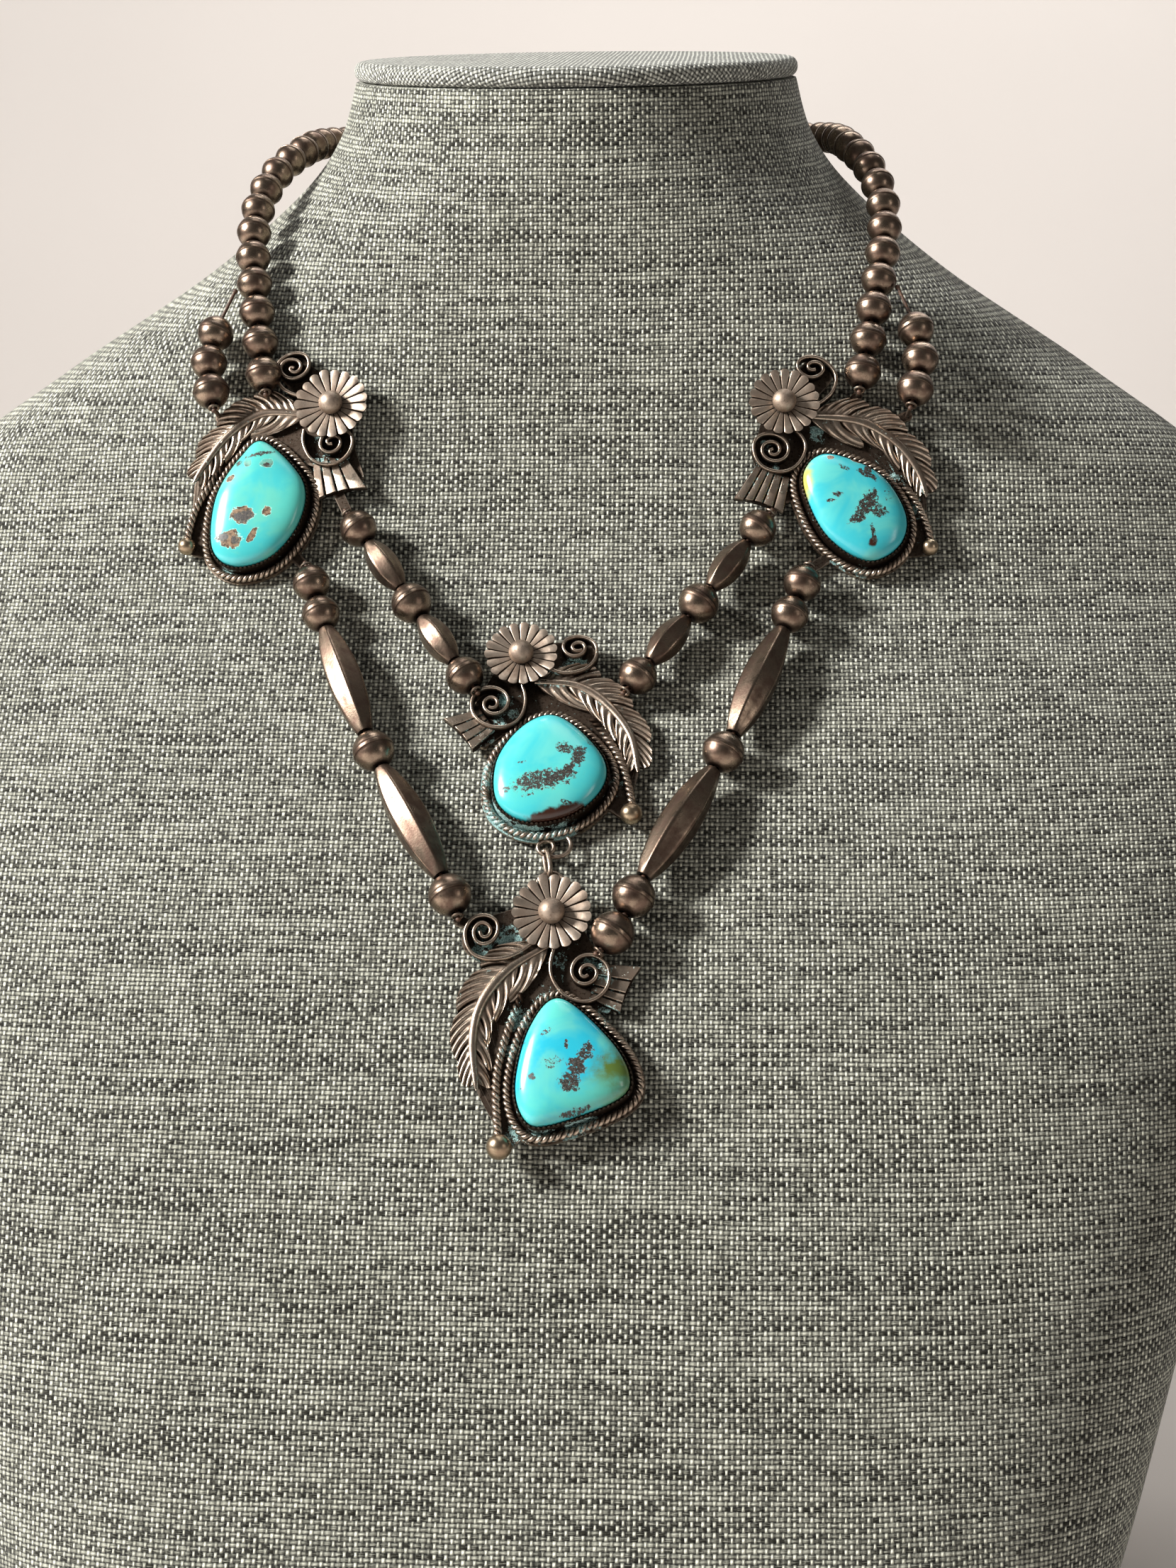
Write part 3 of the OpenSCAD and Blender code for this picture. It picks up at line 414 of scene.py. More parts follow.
def add_slab(shape, top, bottom, recess, crust=0.0, closed=False):
    """Closed solid between two grids of points; closed means that the first direction runs round."""
    a, b = top.shape[:2]
    n = a * b
    faces = []
    for i in range(a if closed else a - 1):
        j = (i + 1) % a
        for k in range(b - 1):
            faces.append([i * b + k, j * b + k, j * b + k + 1, i * b + k + 1])
            faces.append([n + i * b + k, n + i * b + k + 1, n + j * b + k + 1, n + j * b + k])
        faces.append([i * b, n + i * b, n + j * b, j * b])
        faces.append([i * b + b - 1, j * b + b - 1, n + j * b + b - 1, n + i * b + b - 1])
    if not closed:
        for k in range(b - 1):
            faces.append([k, k + 1, n + k + 1, n + k])
            e = (a - 1) * b + k
            faces.append([e, n + e, n + e + 1, e + 1])
    hidden = np.broadcast_to(recess, (a, b)).ravel()
    crusted = np.broadcast_to(crust, (a, b)).ravel()
    # The underside is fully dark: painted shade.
    shape.add(np.vstack([top.reshape(-1, 3), bottom.reshape(-1, 3)]), faces,
              np.r_[hidden, np.ones(n)], np.r_[crusted, crusted])


def directions(path, closed):
    """The sideways and upward directions of each point of a path that stays near the level."""
    t = np.roll(path, -1, 0) - np.roll(path, 1, 0) if closed else np.gradient(path, axis=0)
    side = unit(np.cross(t, [0, 0, 1.0]))
    return side, unit(np.cross(side, t))


def sweep(path, section, closed=False):
    """Rings of a section of (sideways, upward) points along a path."""
    side, up = directions(path, closed)
    section = np.asarray(section, float)
    return path[:, None] + section[..., 0:1] * side[:, None] + section[..., 1:2] * up[:, None]


def circle(r, n):
    """Flat ring of n points."""
    a = np.linspace(0, 2 * np.pi, n, endpoint=False)
    return np.c_[r * np.cos(a), r * np.sin(a)]


def add_twisted(shape, path, pitch, k, closed=False, shaded=0.0):
    """Two wires twisted round each other along a path, black over its first stretch where it is shaded."""
    per_turn, sides = 12, 8
    length = distances(np.vstack([path, path[:1]]) if closed else path)[-1]
    turns = max(round(length / pitch), 1)
    base = evenly(path, turns * per_turn, closed)
    side, up = directions(base, closed)
    for strand in (0, 1):
        a = np.arange(len(base)) * 2 * np.pi / per_turn + np.pi * strand
        wire = base + ROPE_R * 0.96 * (np.cos(a)[:, None] * side + np.sin(a)[:, None] * up)
        rings = sweep(wire, circle(ROPE_R, sides), closed)
        # Painted shade: the wires darken where they meet each other and on their undersides.
        reach = np.linalg.norm(rings - base[:, None], axis=2) / (2 * ROPE_R)
        below = (base[:, None, 2] - rings[..., 2]) / ROPE_R
        hidden = clamp(1.75 - 1.7 * reach) + np.clip(below * 0.45, 0, 0.6)
        if shaded:
            hidden = np.maximum(hidden, 1.2 - distances(base)[:, None] / shaded)
        hidden = clamp(hidden)
        add_skin(shape, rings, closed, hidden, crust_at(k, rings) * (0.45 + 0.55 * hidden))


def add_ball(shape, at, r, rings=14, points=24, flat=1.0, recess=0.1):
    """Ball built from rings, with its poles along w."""
    pole, underside = 0.12, -0.2
    a = np.linspace(-np.pi / 2 + pole, np.pi / 2 - pole, rings)
    ring = circle(1, points)
    # Painted shade: the half towards the sheet is fully dark.
    add_skin(shape, [level(ring * r * math.cos(x), r * flat * math.sin(x)) + at for x in a],
             recess=np.repeat(np.where(a < underside, 1.0, recess), points))


def add_ring(shape, at, normal, r, wire, recess=0.2, points=28, sides=10, arc=1.0, turn=0.0):
    """Ring of round wire, open where arc is under 1."""
    normal = unit(normal)
    a = unit(np.cross(normal, [0.13, 0.99, 0.05]))
    b = np.cross(normal, a)
    t = np.linspace(0, 2 * np.pi * arc, points, endpoint=arc < 1) + math.radians(turn)
    out = np.cos(t)[:, None] * a + np.sin(t)[:, None] * b
    s = circle(wire, sides)
    rings = np.asarray(at) + out[:, None] * (r + s[:, 0])[:, None] + normal * s[:, 1][:, None]
    add_skin(shape, rings, arc >= 1, recess)


def hull(points):
    """Convex outline of flat points, anticlockwise."""
    p = sorted(set(map(tuple, np.round(np.asarray(points, float), 4))))

    def half(order):
        chain = []
        for q in order:
            while len(chain) > 1 and ((chain[-1][0] - chain[-2][0]) * (q[1] - chain[-2][1])
                                      - (chain[-1][1] - chain[-2][1]) * (q[0] - chain[-2][0])) <= 0:
                chain.pop()
            chain.append(q)
        return chain[:-1]

    return half(p) + half(p[::-1])


def discs(*rounds):
    """Outline round several discs of (u, v, radius)."""
    points = 28
    return hull(np.vstack([circle(r, points) + [u, v] for u, v, r in rounds]))


def add_plate(shape, outlines, low, high, k):
    """Sheet of one thickness that covers several outlines, darkened with painted shade and patina except
    along its rim, and crusted in patches.
    """
    mesh_size, border = 0.8, 1.0
    # Painted shade and patina: the sheet lies under the work and is darkened all over but at its rim.
    hidden_inside, hidden_rim = 0.8, 0.05
    points, faces = [], []
    for outline in outlines:
        start = len(points)
        points += [Vector((float(p[0]), float(p[1]))) for p in outline]
        faces.append(list(range(start, len(points))))
    corners = np.array([[p.x, p.y] for p in points])
    grid = np.meshgrid(*[np.arange(corners[:, i].min(), corners[:, i].max(), mesh_size) for i in (0, 1)])
    inner = [grown(outline, -border) for outline in outlines]
    for x, y in np.vstack([np.c_[grid[0].ravel(), grid[1].ravel()]] + inner):
        points.append(Vector((float(x), float(y))))
    flat, _, cells, _, _, _ = geometry.delaunay_2d_cdt(points, [], faces, 1, 1e-4)
    used = sorted({i for cell in cells for i in cell})
    index = {old: new for new, old in enumerate(used)}
    cells = [[index[i] for i in cell] for cell in cells]
    flat = np.array([[flat[i].x, flat[i].y] for i in used])
    n = len(flat)
    uses = {}
    for cell in cells:
        for i in range(len(cell)):
            edge = (cell[i], cell[(i + 1) % len(cell)])
            uses.setdefault(frozenset(edge), []).append(edge)
    walls = [e[0] for e in uses.values() if len(e) == 1]
    sides = [[a, b, n + b, n + a] for a, b in walls]
    top = [[n + i for i in c] for c in cells]
    bottom = [list(reversed(c)) for c in cells]
    hidden = np.full(2 * n, hidden_inside)
    rim = np.unique(np.array(walls))
    hidden[np.r_[rim, n + rim]] = hidden_rim
    shape.add(np.vstack([level(flat, low), level(flat, high)]), top + bottom + sides, hidden,
              np.r_[np.zeros(n), crust_at(k, flat)])


def crust_at(k, points):
    """How crusted each point of a station is, from its patches of verdigris."""
    points = np.asarray(points, float)
    amount = np.zeros(points.shape[:-1])
    for u, v, r, strength in CRUSTS[k]:
        far = np.hypot(points[..., 0] - u, points[..., 1] - v) / r
        amount = np.maximum(amount, strength * clamp(1.5 - far))
    return amount


def make(name, shape, material, nodes, sharp, station=None, bevel=0.0):
    """Makes a piece that rides on the body and stands for CAD nodes.

    Edges over the angle sharp, in degrees, stay crisp. bevel is in millimetres.
    """
    points = np.array(shape.points)
    if station is not None:
        points = station.world(points)
    mesh = bpy.data.meshes.new(name)
    mesh.from_pydata((points * MM).tolist(), [], shape.faces)
    bm = bmesh.new()
    bm.from_mesh(mesh)
    bmesh.ops.recalc_face_normals(bm, faces=bm.faces)
    bm.to_mesh(mesh)
    bm.free()
    # recess darkens the silver: patina in its hollows, and painted shade under and between its parts.
    for label, values in (("recess", shape.recess), ("crust", shape.crust)):
        mesh.attributes.new(label, "FLOAT", "POINT").data.foreach_set("value", np.array(values, np.float32))
    mesh.shade_smooth()
    mesh.set_sharp_from_angle(angle=math.radians(sharp))
    piece = bpy.data.objects.new(name, mesh)
    bpy.context.scene.collection.objects.link(piece)
    mesh.materials.append(material)
    if bevel:
        edge = piece.modifiers.new("edges", "BEVEL")
        edge.width = bevel * MM
        edge.segments = 2
        edge.limit_method = "ANGLE"
        edge.angle_limit = math.radians(50)
    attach(piece, BODY)
    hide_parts(*nodes)
    return piece


def make_work(k, part, shape, sharp, bevel=0.0, material=None):
    """Makes one silver piece of a station's setting."""
    make(f"{NAMES[k]}_{part}", shape, material or STATION_SILVER, [NAMES[k] + "_setting"],
         sharp, STATIONS[k], bevel)


def set_map(piece, places):
    """Gives each point of a mesh its place on the cloth or on the stone, in millimetres."""
    mesh = piece.data
    layer = mesh.uv_layers.new(name="place")
    index = np.zeros(len(mesh.loops), int)
    mesh.loops.foreach_get("vertex_index", index)
    layer.data.foreach_set("uv", np.asarray(places, np.float32)[index].ravel())


# ---- Materials ----

class Graph:
    """Short calls that add nodes to a material or a node group."""

    def __init__(self, tree):
        self.tree = tree

    def put(self, kind, inputs=None, **settings):
        node = self.tree.nodes.new(kind)
        for key, value in settings.items():
            setattr(node, key, value)
        for key, value in (inputs or {}).items():
            self.feed(node.inputs[key], value)
        return node

    def feed(self, socket, value):
        if isinstance(value, bpy.types.NodeSocket):
            self.tree.links.new(value, socket)
        elif isinstance(value, tuple) and socket.type == "RGBA" and len(value) == 3:
            socket.default_value = (*value, 1.0)
        else:
            socket.default_value = value

    def math(self, operation, *values, clamp=False):
        inputs = dict(enumerate(values))
        return self.put("ShaderNodeMath", inputs, operation=operation, use_clamp=clamp).outputs[0]

    def add(self, a, b, clamp=False):
        return self.math("ADD", a, b, clamp=clamp)

    def minus(self, a, b):
        return self.math("SUBTRACT", a, b)

    def times(self, a, b):
        return self.math("MULTIPLY", a, b)

    def vector(self, operation, *values):
        return self.put("ShaderNodeVectorMath", dict(enumerate(values)), operation=operation).outputs[0]

    def mix(self, factor, a, b, blend="MIX"):
        node = self.put("ShaderNodeMix", data_type="RGBA", blend_type=blend)
        for index, value in ((0, factor), (6, a), (7, b)):
            self.feed(node.inputs[index], value)
        return node.outputs[2]

    def blend(self, factor, a, b):
        return self.put("ShaderNodeMix", {0: factor, 2: a, 3: b}, data_type="FLOAT").outputs[0]

    def step(self, value, low, high, to_low=0.0, to_high=1.0):
        """Smooth step of a value from low to high."""
        return self.put("ShaderNodeMapRange", {0: value, 1: low, 2: high, 3: to_low, 4: to_high},
                        interpolation_type="SMOOTHSTEP").outputs[0]

    def noise(self, place, scale, detail=2.0, roughness=0.5, distortion=0.0):
        inputs = {"Vector": place, "Scale": scale, "Detail": detail, "Roughness": roughness,
                  "Distortion": distortion}
        return self.put("ShaderNodeTexNoise", inputs).outputs["Fac"]

    def split(self, vector):
        return self.put("ShaderNodeSeparateXYZ", {0: vector}).outputs

    def join(self, x, y, z):
        return self.put("ShaderNodeCombineXYZ", {0: x, 1: y, 2: z}).outputs[0]

    def group(self, tree, **inputs):
        node = self.tree.nodes.new("ShaderNodeGroup")
        node.node_tree = tree
        for key, value in inputs.items():
            self.feed(node.inputs[key.replace("_", " ")], value)
        return node.outputs


def new_group(name, inputs, outputs):
    """A node group with named sockets; returns its graph, its inputs and its output node."""
    kinds = {"value": "NodeSocketFloat", "colour": "NodeSocketColor", "vector": "NodeSocketVector"}
    tree = bpy.data.node_groups.new(name, "ShaderNodeTree")
    for label, kind in inputs.items():
        tree.interface.new_socket(name=label, in_out="INPUT", socket_type=kinds[kind])
    for label, kind in outputs.items():
        tree.interface.new_socket(name=label, in_out="OUTPUT", socket_type=kinds[kind])
    graph = Graph(tree)
    return graph, graph.put("NodeGroupInput").outputs, graph.put("NodeGroupOutput").inputs


def weave_group():
    """Plain weave of two-tone threads with slubs; places are in millimetres on the cloth."""
    g, given, made = new_group(
        "Plain weave",
        {"Place": "vector", "Warp spacing": "value", "Weft spacing": "value", "Dark": "colour",
         "Pale": "colour"},
        {"Color": "colour", "Height": "value"})
    place = given["Place"]
    warp_bend = g.noise(place, 0.06)
    weft_bend = g.noise(g.vector("ADD", place, (37.0, 11.0, 5.0)), 0.05)
    u, v, _ = g.split(place)
    a = g.add(g.math("DIVIDE", u, given["Warp spacing"]), g.times(warp_bend, 0.6))
    b = g.add(g.math("DIVIDE", v, given["Weft spacing"]), g.times(weft_bend, 0.8))
    column, line = g.math("FLOOR", a), g.math("FLOOR", b)
    across = g.minus(g.minus(a, column), 0.5)
    up = g.minus(g.minus(b, line), 0.5)
    warp_over = g.math("FLOORED_MODULO", g.add(column, line), 2.0)

    def thread(number, way, offset, seed, widths, tones):
        """Profile and tone of one thread: number, distance along it, offset from its middle."""
        lane = g.join(g.times(number, 7.31), g.times(way, 0.3), seed)
        slub = g.noise(lane, 1.0, 2.0, 0.6)
        ratio = g.math("DIVIDE", offset, g.step(slub, 0.34, 0.66, *widths))
        body = g.math("SQRT", g.math("MAXIMUM", g.minus(1.0, g.times(ratio, ratio)), 0.0))
        melange = g.noise(g.vector("ADD", lane, (0.0, 4.7, 91.0)), 1.3, 3.0, 0.7)
        streak = g.noise(g.join(g.times(number, 3.7), g.times(way, 0.035), seed + 9.0), 1.0, 1.0)
        return body, g.add(g.step(melange, 0.36, 0.64, *tones), g.step(streak, 0.32, 0.68, -0.2, 0.2))

    warp_body, warp_tone = thread(column, b, across, 3.0, (0.25, 0.4), (0.55, 1.0))
    weft_body, weft_tone = thread(line, a, up, 41.0, (0.34, 0.5), (0.0, 0.42))
    plies = g.noise(g.vector("MULTIPLY", place, (0.45, 5.5, 1.0)), 1.0, 2.0, 0.6)
    weft_tone = g.add(weft_tone, g.step(plies, 0.48, 0.66, 0.0, 0.42))
    warp_arch = g.times(warp_body, g.math("COSINE", g.times(up, 2.2)))
    weft_arch = g.times(g.times(weft_body, 0.85), g.math("COSINE", g.times(across, 1.6)))
    over = g.blend(warp_over, weft_arch, warp_arch)
    under = g.blend(warp_over, g.times(warp_body, 0.3), g.times(weft_body, 0.5))
    under_shows = g.math("GREATER_THAN", under, over)
    height = g.math("MAXIMUM", over, under)
    over_tone = g.blend(warp_over, weft_tone, warp_tone)
    under_tone = g.blend(warp_over, warp_tone, weft_tone)
    fibre = g.noise(place, 5.0, 3.0, 0.7)
    tone = g.add(g.blend(under_shows, over_tone, under_tone), g.times(g.minus(fibre, 0.5), 0.3), clamp=True)
    yarn = g.mix(tone, given["Dark"], given["Pale"])
    shade = g.add(g.times(g.math("POWER", height, 1.6), 0.97), 0.03)
    g.feed(made["Color"], g.mix(1.0, yarn, g.join(shade, shade, shade), "MULTIPLY"))
    g.feed(made["Height"], height)
    return g.tree


def tarnish_and_shade_group():
    """Warm grey silver that darkens in tarnish blotches, and with patina and painted shade where it is
    hidden.
    """
    g, given, made = new_group(
        "Tarnish and shade",
        {"Place": "vector", "Hidden": "value", "Bright": "colour", "Warm": "colour", "Dark": "colour"},
        {"Color": "colour", "Roughness": "value", "Height": "value"})
    blotch = g.noise(given["Place"], 0.35, 4.0, 0.6)
    mottle = g.noise(given["Place"], 2.2, 4.0, 0.65)
    speck = g.noise(given["Place"], 7.0)
    lines = g.noise(given["Place"], 5.0, 2.0, 0.6)
    color = g.mix(g.step(blotch, 0.38, 0.66), given["Bright"], given["Warm"])
    # Painted shade and patina: the hidden amount darkens the colour, together with the tarnish mottle and
    # specks.
    tarnish_and_shade = g.add(g.times(given["Hidden"], 1.15), g.step(mottle, 0.52, 0.8, 0.0, 0.42), clamp=True)
    tarnish_and_shade = g.add(tarnish_and_shade, g.step(speck, 0.68, 0.76, 0.0, 0.3), clamp=True)
    g.feed(made["Color"], g.mix(tarnish_and_shade, color, given["Dark"]))
    rough = g.add(g.step(blotch, 0.3, 0.7, 0.2, 0.34), g.times(tarnish_and_shade, 0.3))
    g.feed(made["Roughness"], g.add(rough, g.times(lines, 0.06)))
    g.feed(made["Height"], g.add(g.times(mottle, 0.6), g.times(lines, 0.12)))
    return g.tree


def verdigris_group():
    """Pale blue-green crust where a value asks for it."""
    g, given, made = new_group("Verdigris", {"Place": "vector", "Amount": "value"},
                               {"Mask": "value", "Color": "colour", "Height": "value"})
    lumps = g.noise(given["Place"], 0.8, 4.0, 0.7)
    grains = g.noise(given["Place"], 3.5, 3.0, 0.7)
    uneven = g.times(g.minus(g.add(lumps, g.times(grains, 0.5)), 0.76), 3.0)
    g.feed(made["Mask"], g.step(g.add(given["Amount"], uneven), 0.48, 0.68))
    crust = g.mix(g.step(grains, 0.4, 0.6), (0.08, 0.18, 0.18), (0.36, 0.54, 0.52))
    g.feed(made["Color"], g.mix(g.step(lumps, 0.6, 0.8), crust, (0.07, 0.06, 0.05)))
    g.feed(made["Height"], grains)
    return g.tree


def patch_group():
    """Soft ellipse with a bent outline: 1 at its middle and 0 outside."""
    g, given, made = new_group(
        "Patch", {"Place": "vector", "Centre": "vector", "Radii": "vector", "Turn": "value", "Soft": "value"},
        {"Amount": "value"})
    turned = g.put("ShaderNodeVectorRotate", {"Vector": given["Place"], "Center": given["Centre"],
                                              "Angle": g.times(given["Turn"], -1.0)}).outputs[0]
    offset = g.vector("DIVIDE", g.vector("SUBTRACT", turned, given["Centre"]), given["Radii"])
    ratio = g.put("ShaderNodeVectorMath", {0: offset}, operation="LENGTH").outputs["Value"]
    bent = g.times(g.minus(g.noise(given["Place"], 0.6, 3.0, 0.6), 0.5), 1.2)
    outer, inner = g.add(1.1, given["Soft"]), g.minus(0.7, given["Soft"])
    g.feed(made["Amount"], g.step(g.add(ratio, bent), outer, inner))
    return g.tree


def matrix_group():
    """Specks and clusters of brown matrix where a value asks for them, on greyer stone."""
    g, given, made = new_group("Matrix", {"Place": "vector", "Amount": "value"},
                               {"Dark": "value", "Grey": "value", "Tint": "colour"})
    grain = g.noise(given["Place"], 1.5, 5.0, 0.78)
    veins = g.noise(g.vector("ADD", given["Place"], (31.0, 7.0, 2.0)), 0.8, 3.0, 0.6)
    cracks = g.math("ABSOLUTE", g.minus(veins, 0.5))
    dense = g.add(grain, g.times(g.minus(given["Amount"], 1.0), 0.36))
    dense = g.add(dense, g.times(g.step(cracks, 0.03, 0.0), g.times(given["Amount"], 0.1)))
    g.feed(made["Dark"], g.step(dense, 0.448, 0.48))
    g.feed(made["Grey"], g.step(dense, 0.385, 0.48, 0.0, 0.75))
    brown = g.step(g.noise(given["Place"], 2.6, 3.0, 0.7), 0.42, 0.62)
    g.feed(made["Tint"], g.mix(brown, (0.006, 0.005, 0.004), (0.05, 0.038, 0.03)))
    return g.tree


WEAVE = weave_group()
TARNISH_AND_SHADE = tarnish_and_shade_group()
VERDIGRIS = verdigris_group()
PATCH = patch_group()
MATRIX = matrix_group()


def new_material(name):
    """A material, its graph and the inputs of its shader."""
    material = bpy.data.materials.new(name)
    material.use_nodes = True
    graph = Graph(material.node_tree)
    shader = next(n for n in graph.tree.nodes if n.type == "BSDF_PRINCIPLED")
    return material, graph, shader.inputs


def in_millimetres(g):
    """Place on an object, in millimetres."""
    return g.vector("MULTIPLY", g.put("ShaderNodeTexCoord").outputs["Object"], (1 / MM,) * 3)


def bump(g, height, strength, distance):
    """Surface direction roughened by a height."""
    return g.put("ShaderNodeBump", {"Height": height, "Strength": strength, "Distance": distance}).outputs[0]


def linen(name, dark, pale):
    """Dark and pale linen on the bust and its cap."""
    material, g, shader = new_material(name)
    place = g.put("ShaderNodeUVMap", uv_map="place").outputs[0]
    cloth = g.group(WEAVE, Place=place, Warp_spacing=0.97, Weft_spacing=0.86, Dark=dark, Pale=pale)
    g.feed(shader["Base Color"], cloth["Color"])
    shader["Roughness"].default_value = 0.92
    shader["Specular IOR Level"].default_value = 0.2
    shader["Sheen Weight"].default_value = 0.15
    g.feed(shader["Normal"], bump(g, cloth["Height"], strength=0.8, distance=0.00045))
    return material


def silver(name, bright, warm, dark, crust, matt=0.0):
    """Oxidised silver with tarnish blotches, patina and painted shade where it is hidden, and verdigris where
    crust is over 0.
    """
    material, g, shader = new_material(name)
    place = in_millimetres(g)
    # How hidden each point is: patina and painted shade.
    hidden = g.put("ShaderNodeAttribute", attribute_name="recess").outputs["Fac"]
    metal = g.group(TARNISH_AND_SHADE, Place=place, Hidden=hidden, Bright=bright, Warm=warm, Dark=dark)
    color, height = metal["Color"], metal["Height"]
    rough = g.add(metal["Roughness"], matt) if matt else metal["Roughness"]
    if crust:
        amount = g.times(g.put("ShaderNodeAttribute", attribute_name="crust").outputs["Fac"], crust)
        green = g.group(VERDIGRIS, Place=place, Amount=amount)
        color = g.mix(green["Mask"], color, green["Color"])
        rough = g.blend(green["Mask"], rough, 0.9)
        height = g.add(height, g.times(green["Height"], green["Mask"]))
        g.feed(shader["Metallic"], g.minus(1.0, green["Mask"]))
    else:
        shader["Metallic"].default_value = 1.0
    g.feed(shader["Base Color"], color)
    g.feed(shader["Roughness"], rough)
    g.feed(shader["Normal"], bump(g, height, strength=0.35, distance=0.00012))
    return material


# Colours of the dark and the pale threads
LINEN = linen("linen", (0.024, 0.023, 0.015), (0.88, 0.89, 0.75))
# The cap's linen is a paler copy with softer contrast: painted light from above on the top of the neck.
LIT_CAP_LINEN = linen("lit_cap_linen", (0.22, 0.225, 0.2), (0.97, 0.98, 0.88))
# Bright, warm and dark colour of the metal, strength of its verdigris, and how much duller it is
BEAD_SILVER = silver("bead_silver", (0.26, 0.195, 0.145), (0.14, 0.092, 0.07), (0.02, 0.012, 0.009), 0)
STATION_SILVER = silver("station_silver", (0.54, 0.44, 0.35), (0.32, 0.24, 0.185), (0.026, 0.017, 0.012), 1.0)
# The petals' silver is a brighter copy of the station silver: a painted highlight on the raised petals.
LIT_PETAL_SILVER = silver("lit_petal_silver", (0.7, 0.57, 0.46), (0.46, 0.355, 0.28), (0.03, 0.02, 0.014), 0, 0.08)
BALL_SILVER = silver("ball_silver", (0.45, 0.36, 0.25), (0.29, 0.21, 0.14), (0.04, 0.028, 0.018), 0)


def waxed_thread():
    """Brown waxed cord between the beads."""
    material, g, shader = new_material("waxed_thread")
    place = in_millimetres(g)
    twist = g.noise(g.vector("MULTIPLY", place, (2.0, 2.0, 6.0)), 1.0, 2.0)
    g.feed(shader["Base Color"], g.mix(g.step(twist, 0.4, 0.6), (0.03, 0.014, 0.008), (0.1, 0.045, 0.022)))
    shader["Roughness"].default_value = 0.6
    g.feed(shader["Normal"], bump(g, twist, strength=0.5, distance=0.0001))
    return material


# Patches of each stone by kind, laid on in this order. Each has its u and v, two radii, turn in degrees and
# strength
STONE_PATCHES = [
    {"matrix": [(6.4, -20.2, 2.3, 2.2, 20, 1.1), (7.6, -17.4, 2, 2.4, -20, 1.1),
                (9, -14.6, 1.7, 2.5, -25, 1.02), (-0.4, -19.2, 0.9, 0.9, 20, 1.1),
                (1.9, -10.9, 1.4, 0.6, 35, 0.9), (5.6, -13.4, 0.5, 1.2, 5, 1),
                (3.2, -16.6, 2.4, 1.8, 10, 0.72), (11.6, -15.6, 0.7, 0.6, 0, 0.8),
                (7.4, -25.2, 3.6, 0.7, 20, 0.95), (-2.6, -12.6, 0.9, 0.3, 0, 0.9),
                (-2.8, -21.2, 0.8, 0.3, 0, 0.85)],
     "green": [(15.8, -19.6, 5, 6.2, -30, 1.25)],
     "sea": [(9.6, -22.6, 7, 2.4, 18, 0.8), (-0.5, -24.5, 4.5, 3, 10, 0.7), (3, -7, 3.5, 3, 40, 0.7)]},
    {"matrix": [(-0.4, -14.1, 7.8, 2.6, 12, 1.02), (2.2, -13.4, 3.8, 1.9, 12, 1.12),
                (6, -8.9, 1.5, 3.4, -12, 1.08), (3.4, -7.2, 2.2, 1.7, 10, 0.98),
                (4.4, -11.4, 2.6, 1, 38, 1.12), (4, -18.4, 1.5, 0.6, -10, 1),
                (-7.6, -15.9, 1.5, 0.8, 0, 0.9), (-3.2, -17.2, 1.8, 0.6, 5, 0.8),
                (-4.4, -10.3, 1.4, 0.3, 8, 0.85), (8.4, -5.4, 1.2, 1, -30, 0.7)],
     "rust": [(2.6, -20.8, 9.4, 1.7, 18, 1)],
     "sea": [(-1.5, -15, 8.4, 3, 12, 0.8)]},
    {"matrix": [(-3.3, -8, 2.4, 1.5, 8, 1.2), (-7.2, -12.2, 1.6, 1.1, 0, 1.18),
                (-4.8, -12.8, 1, 1.2, 0, 1.1), (0.4, 3.4, 0.9, 0.6, 0, 1.1), (-1.4, 5.9, 3.8, 0.7, 14, 1),
                (-5.6, 4, 1.2, 0.8, 30, 0.9)],
     "tan": [(-3.6, -7.6, 2.8, 2, 8, 0.95), (-6, -12.6, 2.7, 2.1, -10, 0.95), (1.3, -6.8, 1.1, 1.2, 20, 0.9),
                (-1.2, -11.8, 0.8, 2, -28, 0.9), (0.4, 3.8, 1.5, 1.2, 10, 0.9),
                (-3.6, 3.9, 0.9, 1.2, 0, 0.9), (-7, 0.6, 1.3, 0.8, 35, 0.85)],
     "sea": [(6.5, -4, 2.8, 6.4, -8, 1), (-2, 6.6, 5.5, 3.6, 0, 0.9)]},
    {"matrix": [(2, -5.4, 2, 4.6, -34, 1.1), (4.4, -6.8, 2, 1.7, 0, 1), (-0.2, -8.6, 2.2, 1.2, 20, 1.1),
                (2.2, 1.2, 2.9, 1, -30, 1.05), (2.6, 2.2, 1, 2.1, -35, 1.08),
                (-5.2, -4.6, 1.4, 0.5, 0, 0.95), (-2.2, 2.5, 1.7, 0.6, -30, 0.9),
                (-3.9, -3.4, 1.5, 0.8, 10, 1), (3, -11.6, 0.6, 2.6, 6, 1), (6.4, -3.6, 1.6, 2.2, 0, 0.62)],
     "tan": [(0.4, 4.8, 1.3, 0.8, -15, 0.95), (-4.8, 5, 0.8, 0.6, 0, 0.9)],
     "rust": [(2.9, -13.4, 0.9, 1, 0, 1)],
     "yellow": [(-10.2, -0.6, 1.5, 4.4, -8, 1)]},
]
# How soft the rim of each kind of patch is
STONE_SOFT = {"matrix": 0.25, "tan": 0.05, "rust": 0.05, "green": 0.45, "sea": 0.5, "yellow": 0.35}
STONE_COLORS = {
    "tan": (0.25, 0.17, 0.11), "rust": (0.04, 0.014, 0.008), "green": (0.09, 0.15, 0.03),
    "sea": (0.09, 0.5, 0.44), "yellow": (0.45, 0.42, 0.08),
}
# Main and second colour of each stone
STONE_TONES = [((0.02, 0.39, 0.52), (0.1, 0.48, 0.45)), ((0.05, 0.45, 0.49), (0.1, 0.5, 0.48)),
               ((0.05, 0.42, 0.44), (0.1, 0.45, 0.38)), ((0.04, 0.43, 0.5), (0.1, 0.5, 0.48))]


